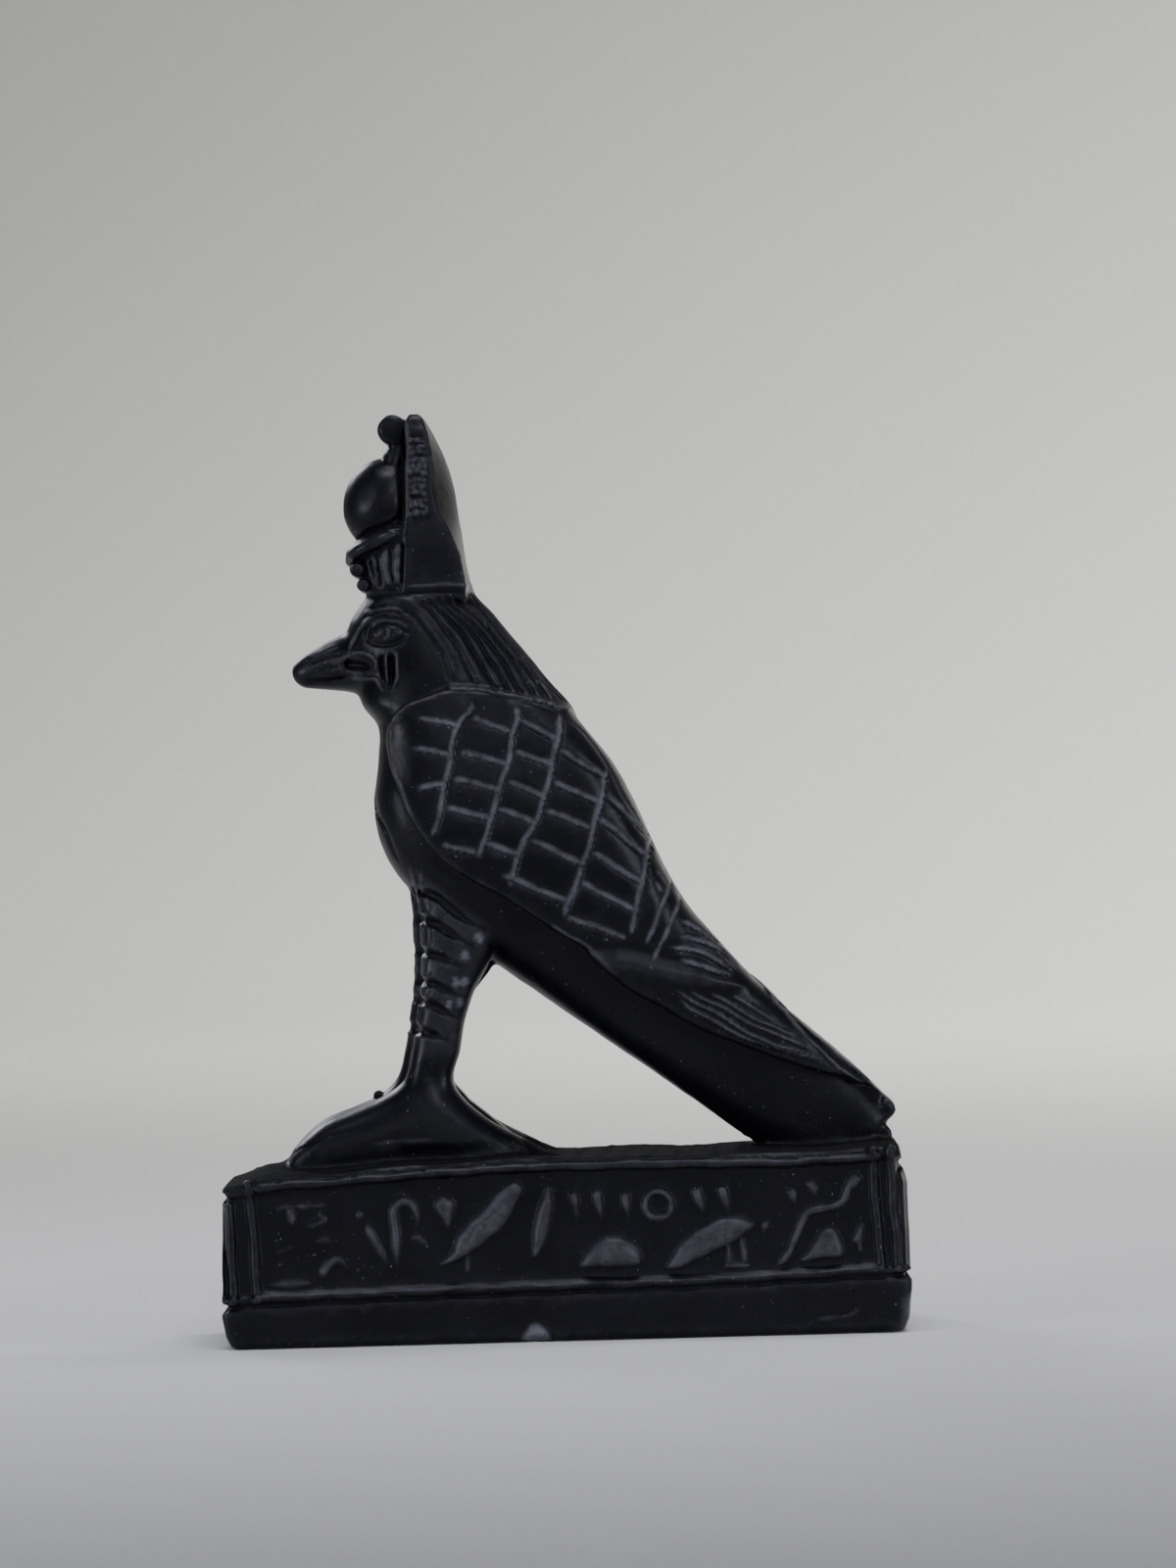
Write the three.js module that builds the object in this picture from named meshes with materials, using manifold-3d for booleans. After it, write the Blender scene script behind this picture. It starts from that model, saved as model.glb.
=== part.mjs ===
// A small cast falcon figure: a crowned falcon standing on an oblong plinth, one casting.
// Millimetres, +Z up, the falcon faces -X, the origin is under the middle of the plinth.
import * as THREE from 'three';
import { mergeVertices } from 'three/addons/utils/BufferGeometryUtils.js';
import Module from 'manifold-3d';

// Driving dimensions of the plinth
const PLINTH_LENGTH = 96;
const PLINTH_WIDTH = 35;
const PLINTH_HEIGHT = 25.5;
const PLINTH_FRONT_DROP = 3.4;
const DROP_START_RATIO = 0.3;
const DROP_EXPONENT = 1.3;
const PLINTH_EDGE = 0.8;
const FOOT_CHAMFER = 1.3;
const GROOVE_HEIGHT = 7.2;
const GROOVE_WIDTH = 1.1;
const GROOVE_DEPTH = 0.9;
const BEAD_WIDTH = 1.2;
const PANEL_TOP_GAP = 2.4;
const BAR_WIDTH = 1.3;
const BAR_PITCH = 2.6;
const BAR_INSET = 1.2;
const PANEL_DEPTH = 0.7;
const STROKE_HEIGHT = 0.7;
const SEAT_DEPTH = 3;

// Driving dimensions of the figure, whose drawn tables below are for 104.5 mm
const FIGURE_HEIGHT = 104.5;
const DRAWN_HEIGHT = 104.5;
const DRAWN_FLOOR = 25.5;
const FAR_LEG_LEAD = 1.3;
const LEG_SPREAD = 6.2;
const FOOT_SPREAD = 6.4;
const LEG_WEB = 2.7;
const CARVING_DEPTH = 0.55;
const CARVING_WIDTH = 1.1;
const LEG_BAND_DEPTH = 0.6;
const STRIPE_DEPTH = 0.5;
const STRIPE_COUNT = 7;
const FACE_RIB_HEIGHT = 0.5;
const FACE_RIB_WIDTH = 0.6;
const HEM_WIDTH = 0.9;
const FLUTE_COUNT = 4;
const FLUTE_DEPTH = 0.5;
const FLUTE_WIDTH = 0.7;
const RIB_COUNT = 10;
const RIB_DEPTH = 0.4;
const RIB_WIDTH = 0.5;
const CROWN_EDGE = 0.6;

// How far cutting tools stand out of what they cut
const CUT_REACH = 1.6;

// How finely the rings and balls are cut
const BODY_SIDES = 18;
const HEAD_SIDES = 14;
const LEG_SIDES = 10;
const DISC_SIDES = 12;
const BALL_SIDES = 8;

// How square the ovals are: 2 is an ellipse
const BODY_OVAL_EXPONENT = 3.2;
const HEAD_OVAL_EXPONENT = 2.4;
const BEAK_OVAL_EXPONENT = 2.2;
const CROWN_OVAL_EXPONENT = 2.8;
const LEG_OVAL_EXPONENT = 3;
const FOOT_OVAL_EXPONENT = 2.3;

// Body and tail: underside x, z, back x, z, half width over the wings, half width of the body
const BODY = [
  [-22.0, 97.0, -10.0, 98.0, 6.5, 6.5],
  [-26.6, 90.5, 0.6, 90.6, 10.8, 10.4],
  [-24.5, 86.0, 4.0, 86.0, 13.0, 12.0],
  [-24.7, 81.0, 7.9, 81.0, 14.2, 13.1],
  [-25.4, 75.5, 11.0, 75.4, 14.6, 13.4],
  [-24.7, 70.0, 14.0, 68.4, 14.6, 13.3],
  [-21.8, 64.5, 17.4, 61.5, 14.0, 12.5],
  [-16.0, 58.5, 21.8, 55.8, 13.2, 11.2],
  [-8.3, 52.0, 26.5, 50.4, 12.0, 9.4],
  [1.0, 45.2, 31.0, 45.9, 10.8, 8.2],
  [10.0, 38.7, 36.2, 41.2, 9.8, 7.6],
  [18.5, 32.5, 41.0, 37.0, 8.8, 7.2],
  [26.0, 27.0, 45.0, 32.9, 7.8, 7.0],
  [32.5, 23.0, 47.4, 30.0, 7.2, 6.8],
  [38.0, 21.0, 45.8, 27.7, 6.6, 6.6],
  [44.0, 20.0, 46.2, 24.0, 6.4, 6.4],
];

// Head and wig: front x, back x, z, half width
const HEAD = [
  [-24.6, -10.9, 106.0, 6.6],
  [-25.9, -10.3, 104.4, 8.0],
  [-27.6, -8.1, 102.0, 8.9],
  [-28.4, -6.5, 100.0, 9.3],
  [-28.3, -4.1, 97.0, 9.6],
  [-27.8, -1.7, 94.0, 10.0],
  [-27.2, -0.3, 92.0, 10.5],
  [-26.6, 1.1, 90.0, 11.2],
  [-24.8, 2.6, 88.0, 11.9],
  [-22.0, 2.0, 86.5, 11.0],
];

// Beak: x, top z, bottom z, half width
const BEAK = [
  [-24.5, 101.4, 90.2, 7.2],
  [-28.0, 99.9, 91.1, 5.2],
  [-30.5, 98.8, 91.5, 4.0],
  [-33.0, 97.6, 91.8, 3.1],
  [-35.0, 96.4, 92.1, 2.3],
  [-36.1, 95.4, 92.9, 1.4],
  [-36.5, 94.7, 93.9, 0.5],
];

// Crown plumes: z, front x, rear edge of the flat side x, back x, half width
const PLUMES = [
  [103.5, -20.6, -11.9, -10.4, 7.4],
  [105.4, -20.6, -11.6, -10.8, 7.6],
  [109.5, -20.4, -12.2, -11.6, 7.6],
  [113.3, -20.2, -13.6, -12.0, 7.5],
  [116.0, -20.0, -15.2, -12.4, 7.3],
  [119.5, -19.8, -16.0, -12.9, 6.9],
  [123.0, -19.7, -15.9, -13.8, 6.4],
  [126.5, -19.6, -16.3, -15.3, 5.8],
  [129.0, -19.5, -16.9, -16.6, 5.2],
  [130.0, -19.1, -17.6, -17.4, 4.4],
];

// Crown base: z, front x, half width, and its back
const CROWN_BASE = [[104.0, -24.8, 6.9], [108.0, -25.0, 7.1], [112.5, -25.6, 7.3], [114.0, -24.5, 7.0]];
const CROWN_BASE_BACK = -12;
// Sun disc: middle x, z, half sizes along x, y, z, and its lean
const DISC_MIDDLE = [-21.9, 117.4];
const DISC_HALF_SIZES = [6.6, 6.4, 6.9];
const DISC_LEAN_DEG = 14.3;
// Horns under the disc: front x, z for the lower and the upper edge, then the back and the half width
const HORN_FRONTS = [[-28.4, 109.8], [-28.0, 111.4]];
const HORN_BACKS = [[-19.0, 113.4], [-19.0, 115.0]];
const HORN_HALF_WIDTH = 7.6;
// Curl, bead and the two cobras' heads: middle x, z, radius
const CURL = [-21.3, 127.5, 2.15];
const CURL_HALF_WIDTH = 3.6;
const BEAD = [-21.6, 124.0, 1.2];
const COBRAS = [[-26.5, 108.4, 1.5], [-26.0, 105.6, 1.2]];
// Carving of the crown: flutes of the base, ribs beside the curl, and the rim
const FLUTE_FIRST = [[-20.6, 105.6], [-20.8, 112.4]];
const FLUTE_LAST = [[-24.35, 105.6], [-24.55, 112.4]];
const RIB_FIRST = [[-20.4, 117.2], [-16.4, 117.2]];
const RIB_LAST = [[-20.4, 127.4], [-16.4, 127.4]];
const CROWN_RIM = [[-20.2, 104.2], [-11.0, 104.8]];

// Leg: z, front x, back x, half width
const LEG = [
  [68.0, -19.5, -5.5, 3.6],
  [62.5, -19.3, -6.8, 4.2],
  [57.5, -19.2, -8.2, 4.5],
  [52.5, -19.2, -9.8, 4.5],
  [48.5, -19.4, -12.0, 4.3],
  [44.5, -20.0, -13.3, 4.0],
  [40.5, -20.8, -14.1, 3.8],
  [36.6, -21.9, -15.1, 3.8],
  [33.0, -24.0, -13.6, 4.4],
  [28.0, -26.0, -9.0, 5.2],
];

// Foot: x, top z, half width
const FOOT = [
  [-39.6, 24.6, 2.6],
  [-38.4, 26.3, 4.2],
  [-37.0, 28.2, 5.0],
  [-34.0, 30.6, 5.5],
  [-30.5, 32.1, 5.6],
  [-26.0, 33.9, 5.5],
  [-22.0, 35.7, 5.2],
  [-18.0, 36.4, 5.0],
  [-14.0, 33.2, 5.0],
  [-10.0, 30.4, 4.8],
  [-5.0, 27.6, 4.2],
  [-1.0, 25.6, 3.2],
];

// Web between the legs
const WEB = [
  [-18.6, 66.0], [-18.4, 44.0], [-20.6, 34.0], [-28.0, 28.0],
  [-6.0, 26.0], [-15.4, 36.0], [-13.6, 46.0], [-8.0, 56.0],
];

// Wing outline on the side, x, z; its last points lie outside the body, over the back
const WING = [
  [-13.2, 91.1], [-17.0, 90.1], [-20.8, 88.6], [-23.1, 85.6], [-22.8, 81.0], [-21.8, 77.8],
  [-20.3, 73.9], [-17.3, 69.1], [-13.3, 65.4], [-7.2, 62.4], [0.9, 57.4], [7.2, 53.1],
  [10.2, 49.4], [13.5, 46.4], [19.1, 42.8], [25.2, 40.2], [33.1, 37.2], [40.5, 35.1],
  [44.2, 33.1], [48.0, 29.6], [56.0, 34.0], [30.0, 66.0], [10.0, 92.0], [2.6, 88.0], [-5.8, 90.2],
];

// Feather courses cut across the wing, and the pairs of bands behind them
const COURSES = [
  [[-11.4, 88.8], [-13.6, 84.0], [-15.0, 78.2], [-17.2, 70.3]],
  [[-5.0, 87.8], [-6.2, 81.0], [-8.2, 74.2], [-10.8, 67.2]],
  [[1.0, 86.6], [-0.2, 79.4], [-3.0, 71.4], [-6.8, 62.8]],
  [[7.4, 79.2], [5.0, 70.0], [0.9, 58.7]],
  [[12.9, 68.0], [11.9, 62.8], [10.3, 56.2]],
  [[16.4, 63.4], [14.0, 59.3], [12.1, 54.6]],
  [[18.2, 61.3], [15.2, 57.0], [13.0, 52.3]],
];
// Strokes between the courses: the first and last stroke's ends, and how many there are
const STROKES = [
  [[[-18.8, 87.4], [-13.0, 86.0]], [[-19.6, 77.9], [-15.0, 77.2]]],
  [[[-11.0, 87.1], [-5.7, 84.9]], [[-15.9, 69.6], [-10.9, 68.0]]],
  [[[-4.4, 86.6], [0.6, 83.9]], [[-9.8, 69.5], [-4.9, 67.6]]],
  [[[1.0, 82.3], [7.4, 78.3]], [[-7.3, 65.3], [1.7, 61.0]]],
  [[[7.0, 75.4], [12.1, 69.4]], [[1.1, 59.1], [9.8, 55.7]]],
];
const STROKE_COUNTS = [3, 5, 5, 5, 5];
// Long feathers over the tail
const QUILLS = [
  [[17.0, 58.1], [22.6, 54.2]],
  [[16.2, 55.8], [24.6, 51.6]],
  [[16.4, 53.0], [26.4, 49.2]],
  [[18.4, 48.0], [32.6, 41.8]],
  [[17.0, 47.6], [25.0, 43.2], [34.6, 39.6]],
  [[15.0, 48.6], [22.0, 43.0], [38.0, 37.0]],
];
// Stripes of the wig, from the crown to its hem
const STRIPE_FIRST = [[-19.6, 101.2], [-16.4, 98.4], [-13.8, 92.4]];
const STRIPE_LAST = [[-10.6, 103.2], [-6.0, 98.2], [0.2, 89.4]];
const HEM = [[-14.4, 91.5], [-9.0, 90.9], [-3.0, 89.6], [2.2, 88.2]];
// Features of the face: the eye's middle x, z and half sizes, then the brow, cheek and gape
const EYE_MIDDLE = [-22.8, 99.4];
const EYE_HALF_SIZES = [2.1, 0.9, 1.2];
const FACE_RIBS = [
  [[-27.2, 98.2], [-25.6, 101.1], [-21.4, 101.8], [-18.9, 99.4]],
  [[-22.1, 97.2], [-22.6, 91.8]],
  [[-27.4, 96.2], [-24.6, 95.6], [-25.4, 93.6]],
];
// Raised strokes in the plinth's panel: middle x, z, length, width, and their leans from upright
const STROKES_SHOWN = [
  [-37.4, 18.4, 5.2, 1.6], [-33.6, 12.2, 7.4, 1.8], [-27.6, 15.6, 6.6, 1.3],
  [-24.2, 15.8, 8.0, 1.5], [-18.0, 19.0, 4.2, 1.6], [-11.4, 16.4, 14.6, 3.8],
  [-3.6, 16.6, 9.6, 1.7], [1.6, 19.2, 3.4, 0.9], [4.7, 19.2, 3.0, 0.9],
  [8.6, 19.2, 3.6, 1.0], [6.0, 12.2, 8.8, 3.2], [13.2, 18.4, 3.8, 2.0],
  [18.6, 19.1, 3.6, 1.1], [22.6, 19.3, 3.6, 1.1], [20.2, 13.4, 12.4, 3.4],
  [32.6, 13.4, 8.2, 1.3], [37.4, 19.0, 6.4, 1.3], [36.0, 12.0, 4.2, 2.2],
];
const STROKE_LEANS_DEG = [62, 78, -22, 4, -8, 44, 3, -4, 6, -6, 88, 30, -8, -14, 64, 34, 48, 60];
// The far side carries every third stroke
const BEHIND_EVERY = 3;
// Grooved bands across the leg, front and back x, z
const LEG_BANDS = [
  [[-18.9, 63.1], [-10.4, 58.2]], [[-18.7, 59.0], [-12.4, 55.4]], [[-18.6, 54.5], [-13.8, 52.1]],
  [[-18.7, 50.4], [-14.4, 48.3]], [[-19.0, 47.6], [-14.8, 45.4]], [[-19.7, 43.5], [-15.2, 41.3]],
];

const wasm = await Module();
wasm.setup();

const scale = FIGURE_HEIGHT / DRAWN_HEIGHT;
const along = (x) => x * scale;
const above = (z) => PLINTH_HEIGHT + (z - DRAWN_FLOOR) * scale;
const placed = ([x, z]) => [along(x), above(z)];

// A closed skin over rings of equal count, each ring a list of [x, y, z]
function skin(rings) {
  const count = rings[0].length;
  const points = rings.flat();
  const faces = [];
  for (let r = 0; r + 1 < rings.length; r++) {
    for (let i = 0; i < count; i++) {
      const a = r * count + i;
      const b = r * count + ((i + 1) % count);
      faces.push(a, b, b + count, a, b + count, a + count);
    }
  }
  for (const [r, turn] of [[0, 1], [rings.length - 1, 0]]) {
    const middle = [0, 1, 2].map((k) => rings[r].reduce((sum, p) => sum + p[k], 0) / count);
    points.push(middle);
    for (let i = 0; i < count; i++) {
      const a = r * count + i;
      const b = r * count + ((i + 1) % count);
      faces.push(...(turn ? [b, a, points.length - 1] : [a, b, points.length - 1]));
    }
  }
  const geometry = new THREE.BufferGeometry();
  geometry.setAttribute('position', new THREE.Float32BufferAttribute(points.flat(), 3));
  geometry.setIndex(faces);
  return geometry;
}

// A closed geometry as a solid, turned outside out where its rings ran the other way
function solid(geometry) {
  const bare = geometry.clone();
  bare.deleteAttribute('normal');
  bare.deleteAttribute('uv');
  const merged = mergeVertices(bare, 1e-4);
  const position = merged.getAttribute('position');
  const index = Array.from(merged.getIndex().array);
  const corner = (k) => new THREE.Vector3().fromBufferAttribute(position, index[k]);
  let volume = 0;
  for (let k = 0; k < index.length; k += 3) {
    volume += corner(k).dot(corner(k + 1).cross(corner(k + 2)));
  }
  if (volume < 0) index.reverse();
  return new wasm.Manifold(new wasm.Mesh({
    numProp: 3,
    vertProperties: new Float32Array(position.array),
    triVerts: new Uint32Array(index),
  }));
}

const join = (solids) => solids.reduce((whole, part) => whole.add(part));

// A squared oval between two points of the middle plane
function oval([xa, za], [xb, zb], halfWidth, exponent, sides, y = 0) {
  const power = (v) => Math.sign(v) * Math.abs(v) ** (2 / exponent);
  return Array.from({ length: sides }, (_, i) => {
    const turn = (2 * Math.PI * i) / sides;
    const share = (1 - power(Math.cos(turn))) / 2;
    return [xa + (xb - xa) * share, y + halfWidth * power(Math.sin(turn)), za + (zb - za) * share];
  });
}

// Half width of a table's skin at a point of the side view
function skinAt(rows, widthColumn, exponent, x, z) {
  for (let r = 0; r + 1 < rows.length; r++) {
    const side = (t) => {
      const row = rows[r].map((v, k) => v + (rows[r + 1][k] - v) * t);
      return [(row[2] - row[0]) * (z - row[1]) - (row[3] - row[1]) * (x - row[0]), row];
    };
    if (side(0)[0] * side(1)[0] > 0) continue;
    let [low, high] = [0, 1];
    for (let k = 0; k < 24; k++) {
      const middle = (low + high) / 2;
      if (side(low)[0] * side(middle)[0] > 0) low = middle;
      else high = middle;
    }
    const row = side(low)[1];
    const reach = Math.hypot(row[2] - row[0], row[3] - row[1]);
    const share = (2 * Math.hypot(x - row[0], z - row[1])) / reach - 1;
    const rest = Math.max(0, 1 - Math.abs(share) ** exponent);
    return row[widthColumn] * rest ** (1 / exponent);
  }
  return 0;
}

const headRows = HEAD.map(([front, back, z, half]) => [front, z, back, z, half]);
const legRows = LEG.map(([z, front, back, half]) => [front, z, back, z, half]);
const wingSkin = (x, z) => skinAt(BODY, 4, BODY_OVAL_EXPONENT, x, z);
const headSkin = (x, z) => Math.max(
  skinAt(headRows, 4, HEAD_OVAL_EXPONENT, x, z),
  skinAt(BODY, 5, BODY_OVAL_EXPONENT, x, z),
);
const crownBaseRows = CROWN_BASE.map(([z, front, half]) => [front, z, CROWN_BASE_BACK, z, half]);
const crownBaseSkin = (x, z) => skinAt(crownBaseRows, 4, CROWN_OVAL_EXPONENT, x, z);
const legSkin = (x, z) => skinAt(legRows, 4, LEG_OVAL_EXPONENT, x, z) + LEG_SPREAD;

// A line of the side view as a three-sided rod: foot inside the skin for a rib, outside for a cut
function rod(line, surface, halfWidth, inner, outer, mirror = 1) {
  const rings = line.map(([x, z], i) => {
    const before = line[Math.max(i - 1, 0)];
    const after = line[Math.min(i + 1, line.length - 1)];
    const run = Math.hypot(after[0] - before[0], after[1] - before[1]);
    const across = [-(after[1] - before[1]) / run, (after[0] - before[0]) / run];
    const y = surface(x, z);
    return [[0, inner], [halfWidth, outer], [-halfWidth, outer]].map(([w, depth]) => [
      along(x + across[0] * w), mirror * (y + depth) * scale, above(z + across[1] * w)]);
  });
  return skin(rings);
}
const cutLine = (line, surface, depth, width, mirror) => (
  solid(rod(line, surface, (width / 2) * (1 + CUT_REACH / depth), -depth, CUT_REACH, mirror)));
const ribLine = (line, surface, height, width, mirror) => (
  solid(rod(line, surface, (width / 2) * (1 + CUT_REACH / height), height, -CUT_REACH, mirror)));

const between = (a, b, t) => a.map((v, k) => v + (b[k] - v) * t);

// Evenly spaced lines from the first to the last
const series = (count, first, last) => Array.from({ length: count }, (_, i) => (
  first.map((p, k) => between(p, last[k], i / (count - 1)))));

const bothSides = (make) => [1, -1].map(make);

// A side outline as a slab through the figure
function slab(outline, halfWidth) {
  const shape = new THREE.Shape(outline.map((p) => new THREE.Vector2(...placed(p))));
  const geometry = new THREE.ExtrudeGeometry(shape, { depth: 2 * halfWidth, bevelEnabled: false });
  geometry.translate(0, 0, -halfWidth);
  geometry.rotateX(Math.PI / 2);
  return solid(geometry);
}

// A ball of the side view's middle x, z, with half sizes along x, y, z
function ball(middle, halfSizes, y, sides = BALL_SIDES, lean = 0) {
  const geometry = new THREE.SphereGeometry(1, sides, Math.ceil(sides / 2));
  geometry.scale(...halfSizes.map((v) => v * scale));
  geometry.rotateY(lean);
  geometry.translate(along(middle[0]), y * scale, above(middle[1]));
  return geometry;
}

function loft(rows, widthColumn, exponent, sides) {
  return solid(skin(rows.map((row) => oval(
    placed([row[0], row[1]]), placed([row[2], row[3]]), row[widthColumn] * scale, exponent, sides))));
}

function bodyAndWings() {
  const body = loft(BODY, 5, BODY_OVAL_EXPONENT, BODY_SIDES);
  const wings = loft(BODY, 4, BODY_OVAL_EXPONENT, BODY_SIDES).intersect(slab(WING, PLINTH_WIDTH));
  return body.add(wings);
}

function wingCarving() {
  const lines = [
    ...COURSES,
    ...STROKES.flatMap(([first, last], i) => series(STROKE_COUNTS[i], first, last)),
    ...QUILLS,
  ];
  return lines.flatMap((line) => bothSides((side) => (
    cutLine(line, wingSkin, CARVING_DEPTH, CARVING_WIDTH, side))));
}

function wigCarving() {
  return series(STRIPE_COUNT, STRIPE_FIRST, STRIPE_LAST).flatMap((line) => (
    bothSides((side) => cutLine(line, headSkin, STRIPE_DEPTH, CARVING_WIDTH, side))));
}

function head() {
  const skull = loft(headRows, 4, HEAD_OVAL_EXPONENT, HEAD_SIDES);
  const beak = solid(skin(BEAK.map(([x, top, bottom, half]) => oval(
    placed([x, bottom]), placed([x, top]), half * scale, BEAK_OVAL_EXPONENT, LEG_SIDES))));
  return skull.add(beak);
}

// Features of the face and the hem of the wig, raised on the skin of the head
function headRelief() {
  return bothSides((side) => [
    solid(ball(EYE_MIDDLE, EYE_HALF_SIZES, side * headSkin(...EYE_MIDDLE))),
    ...FACE_RIBS.map((line) => ribLine(line, headSkin, FACE_RIB_HEIGHT, FACE_RIB_WIDTH, side)),
  ]).flat();
}

function wigHem() {
  const surface = (x, z) => Math.max(wingSkin(x, z), headSkin(x, z));
  return bothSides((side) => ribLine(HEM, surface, FACE_RIB_HEIGHT, HEM_WIDTH, side));
}

function crown() {
  const plumes = solid(skin(PLUMES.map(([z, front, edge, back, half]) => {
    const arc = Array.from({ length: 5 }, (_, i) => {
      const turn = (Math.PI * (i + 1)) / 6;
      return [edge + (back - edge) * Math.sin(turn), half * Math.cos(turn)];
    });
    const section = [[edge, half], ...arc, [edge, -half],
      [front + CROWN_EDGE, -half], [front, -half + CROWN_EDGE],
      [front, half - CROWN_EDGE], [front + CROWN_EDGE, half]];
    return section.map(([x, y]) => [along(x), y * scale, above(z)]);
  })));
  const base = solid(skin(CROWN_BASE.map(([z, front, half]) => oval(
    placed([front, z]), placed([CROWN_BASE_BACK, z]), half * scale, CROWN_OVAL_EXPONENT, DISC_SIDES))));
  return plumes.add(base);
}

// The sun disc, its horns, the curl on the plumes and the two cobras' heads
function crownTrimmings() {
  const disc = ball(DISC_MIDDLE, DISC_HALF_SIZES, 0, DISC_SIDES, THREE.MathUtils.degToRad(DISC_LEAN_DEG));
  const [x, z, radius] = CURL;
  const curl = new THREE.CylinderGeometry(
    radius * scale, radius * scale, 2 * CURL_HALF_WIDTH * scale, DISC_SIDES);
  curl.translate(along(x), 0, above(z));
  const horns = skin(HORN_FRONTS.map((front, i) => oval(
    placed(front), placed(HORN_BACKS[i]), HORN_HALF_WIDTH * scale, HEAD_OVAL_EXPONENT, DISC_SIDES)));
  const beads = [BEAD, ...COBRAS].map(([bx, bz, r]) => ball([bx, bz], [r, r, r], 0));
  return [disc, curl, horns, ...beads].map(solid);
}

function crownCarving() {
  const rimSkin = () => Math.max(...CROWN_BASE.map((row) => row[2]));
  const plumeSkin = (x, z) => PLUMES.find((row) => row[0] >= z)[4];
  const flutes = series(FLUTE_COUNT, FLUTE_FIRST, FLUTE_LAST);
  const ribs = series(RIB_COUNT, RIB_FIRST, RIB_LAST);
  return [
    ...flutes.flatMap((line) => bothSides((s) => cutLine(line, crownBaseSkin, FLUTE_DEPTH, FLUTE_WIDTH, s))),
    ...ribs.flatMap((line) => bothSides((s) => cutLine(line, plumeSkin, RIB_DEPTH, RIB_WIDTH, s))),
    ...bothSides((s) => cutLine(CROWN_RIM, rimSkin, RIB_DEPTH, RIB_WIDTH, s)),
  ];
}

function leg(side, lead) {
  const rings = LEG.map(([z, front, back, half]) => oval(
    placed([front - lead, z]), placed([back - lead, z]), half * scale, LEG_OVAL_EXPONENT, LEG_SIDES,
    side * LEG_SPREAD * scale));
  const cuts = LEG_BANDS.map((line) => {
    const led = line.map(([x, z]) => [x - lead, z]);
    return cutLine(led, (x, z) => legSkin(x + lead, z), LEG_BAND_DEPTH, CARVING_WIDTH, side);
  });
  return solid(skin(rings)).subtract(join(cuts));
}

function foot(side) {
  const rings = FOOT.map(([x, top, half]) => oval(
    [along(x), PLINTH_HEIGHT - SEAT_DEPTH], placed([x, top]), half * scale, FOOT_OVAL_EXPONENT, LEG_SIDES,
    side * FOOT_SPREAD * scale));
  return solid(skin(rings));
}

function legs() {
  const web = slab(WEB, LEG_WEB * scale);
  return join([leg(-1, 0), leg(1, FAR_LEG_LEAD), foot(-1), foot(1), web]);
}

// The plinth: a block whose top falls towards the falcon's front, with chamfered lower edges
function plinthBlock() {
  const half = PLINTH_LENGTH / 2;
  const stops = [-1, -0.85, -0.7, -0.5, -0.3, 0, 1].map((s) => s * half);
  const ring = (inset, cap) => stops.map((x) => {
    const inside = THREE.MathUtils.clamp(x, -half + inset, half - inset);
    return [inside, cap(x)];
  });
  const rows = [
    [PLINTH_WIDTH / 2 - FOOT_CHAMFER / 2, FOOT_CHAMFER, () => 0],
    [PLINTH_WIDTH / 2, 0, () => FOOT_CHAMFER],
    [PLINTH_WIDTH / 2, 0, (x) => topAt(x) - PLINTH_EDGE],
    [PLINTH_WIDTH / 2 - PLINTH_EDGE, PLINTH_EDGE, topAt],
  ];
  return solid(skin(rows.map(([y, inset, cap]) => {
    const line = ring(inset, cap);
    return [...line.map(([x, z]) => [x, -y, z]), ...line.toReversed().map(([x, z]) => [x, y, z])];
  })));
}

// A box given by its lowest and highest corners
function box(low, high) {
  const size = high.map((v, k) => v - low[k]);
  const geometry = new THREE.BoxGeometry(...size);
  geometry.translate(...low.map((v, k) => v + size[k] / 2));
  return solid(geometry);
}

// Height of the plinth's top at a place along it
function topAt(x) {
  const share = -x / (PLINTH_LENGTH / 2);
  const run = Math.max(0, (share - DROP_START_RATIO) / (1 - DROP_START_RATIO));
  return PLINTH_HEIGHT - PLINTH_FRONT_DROP * run ** DROP_EXPONENT;
}

// The framed panel cut into a long side, and the slots that leave two bars at each end of it
function panelCuts(side) {
  const barsEnd = PLINTH_LENGTH / 2 - BAR_INSET - BAR_PITCH - BAR_WIDTH;
  const face = side * (PLINTH_WIDTH / 2);
  const low = GROOVE_HEIGHT + BEAD_WIDTH;
  const cut = (outline) => {
    const shape = new THREE.Shape(outline.map(([x, z]) => new THREE.Vector2(x, z)));
    const geometry = new THREE.ExtrudeGeometry(shape, { depth: 2 * PANEL_DEPTH, bevelEnabled: false });
    geometry.rotateX(Math.PI / 2);
    geometry.translate(0, face + PANEL_DEPTH, 0);
    return solid(geometry);
  };
  const stops = [1, -0.4, -0.7, -1].map((share) => share * barsEnd);
  const panel = [[-barsEnd, low], [barsEnd, low], ...stops.map((x) => [x, topAt(x) - PANEL_TOP_GAP])];
  const slots = [-1, 1].map((end) => {
    const [near, far] = [barsEnd + BAR_WIDTH, PLINTH_LENGTH / 2 - BAR_INSET - BAR_WIDTH].map((x) => end * x);
    return [[near, low], [far, low], [far, PLINTH_HEIGHT + CUT_REACH], [near, PLINTH_HEIGHT + CUT_REACH]];
  });
  return [panel, ...slots].map(cut);
}

// A raised stroke: a long low pyramid on the panel
function stroke([x, z, length, width], lean, side) {
  const shape = new THREE.OctahedronGeometry(1, 0);
  shape.scale(width / 2, STROKE_HEIGHT, length / 2);
  shape.rotateY(THREE.MathUtils.degToRad(lean));
  shape.translate(x, side * (PLINTH_WIDTH / 2 - PANEL_DEPTH), z);
  return solid(shape);
}

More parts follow.
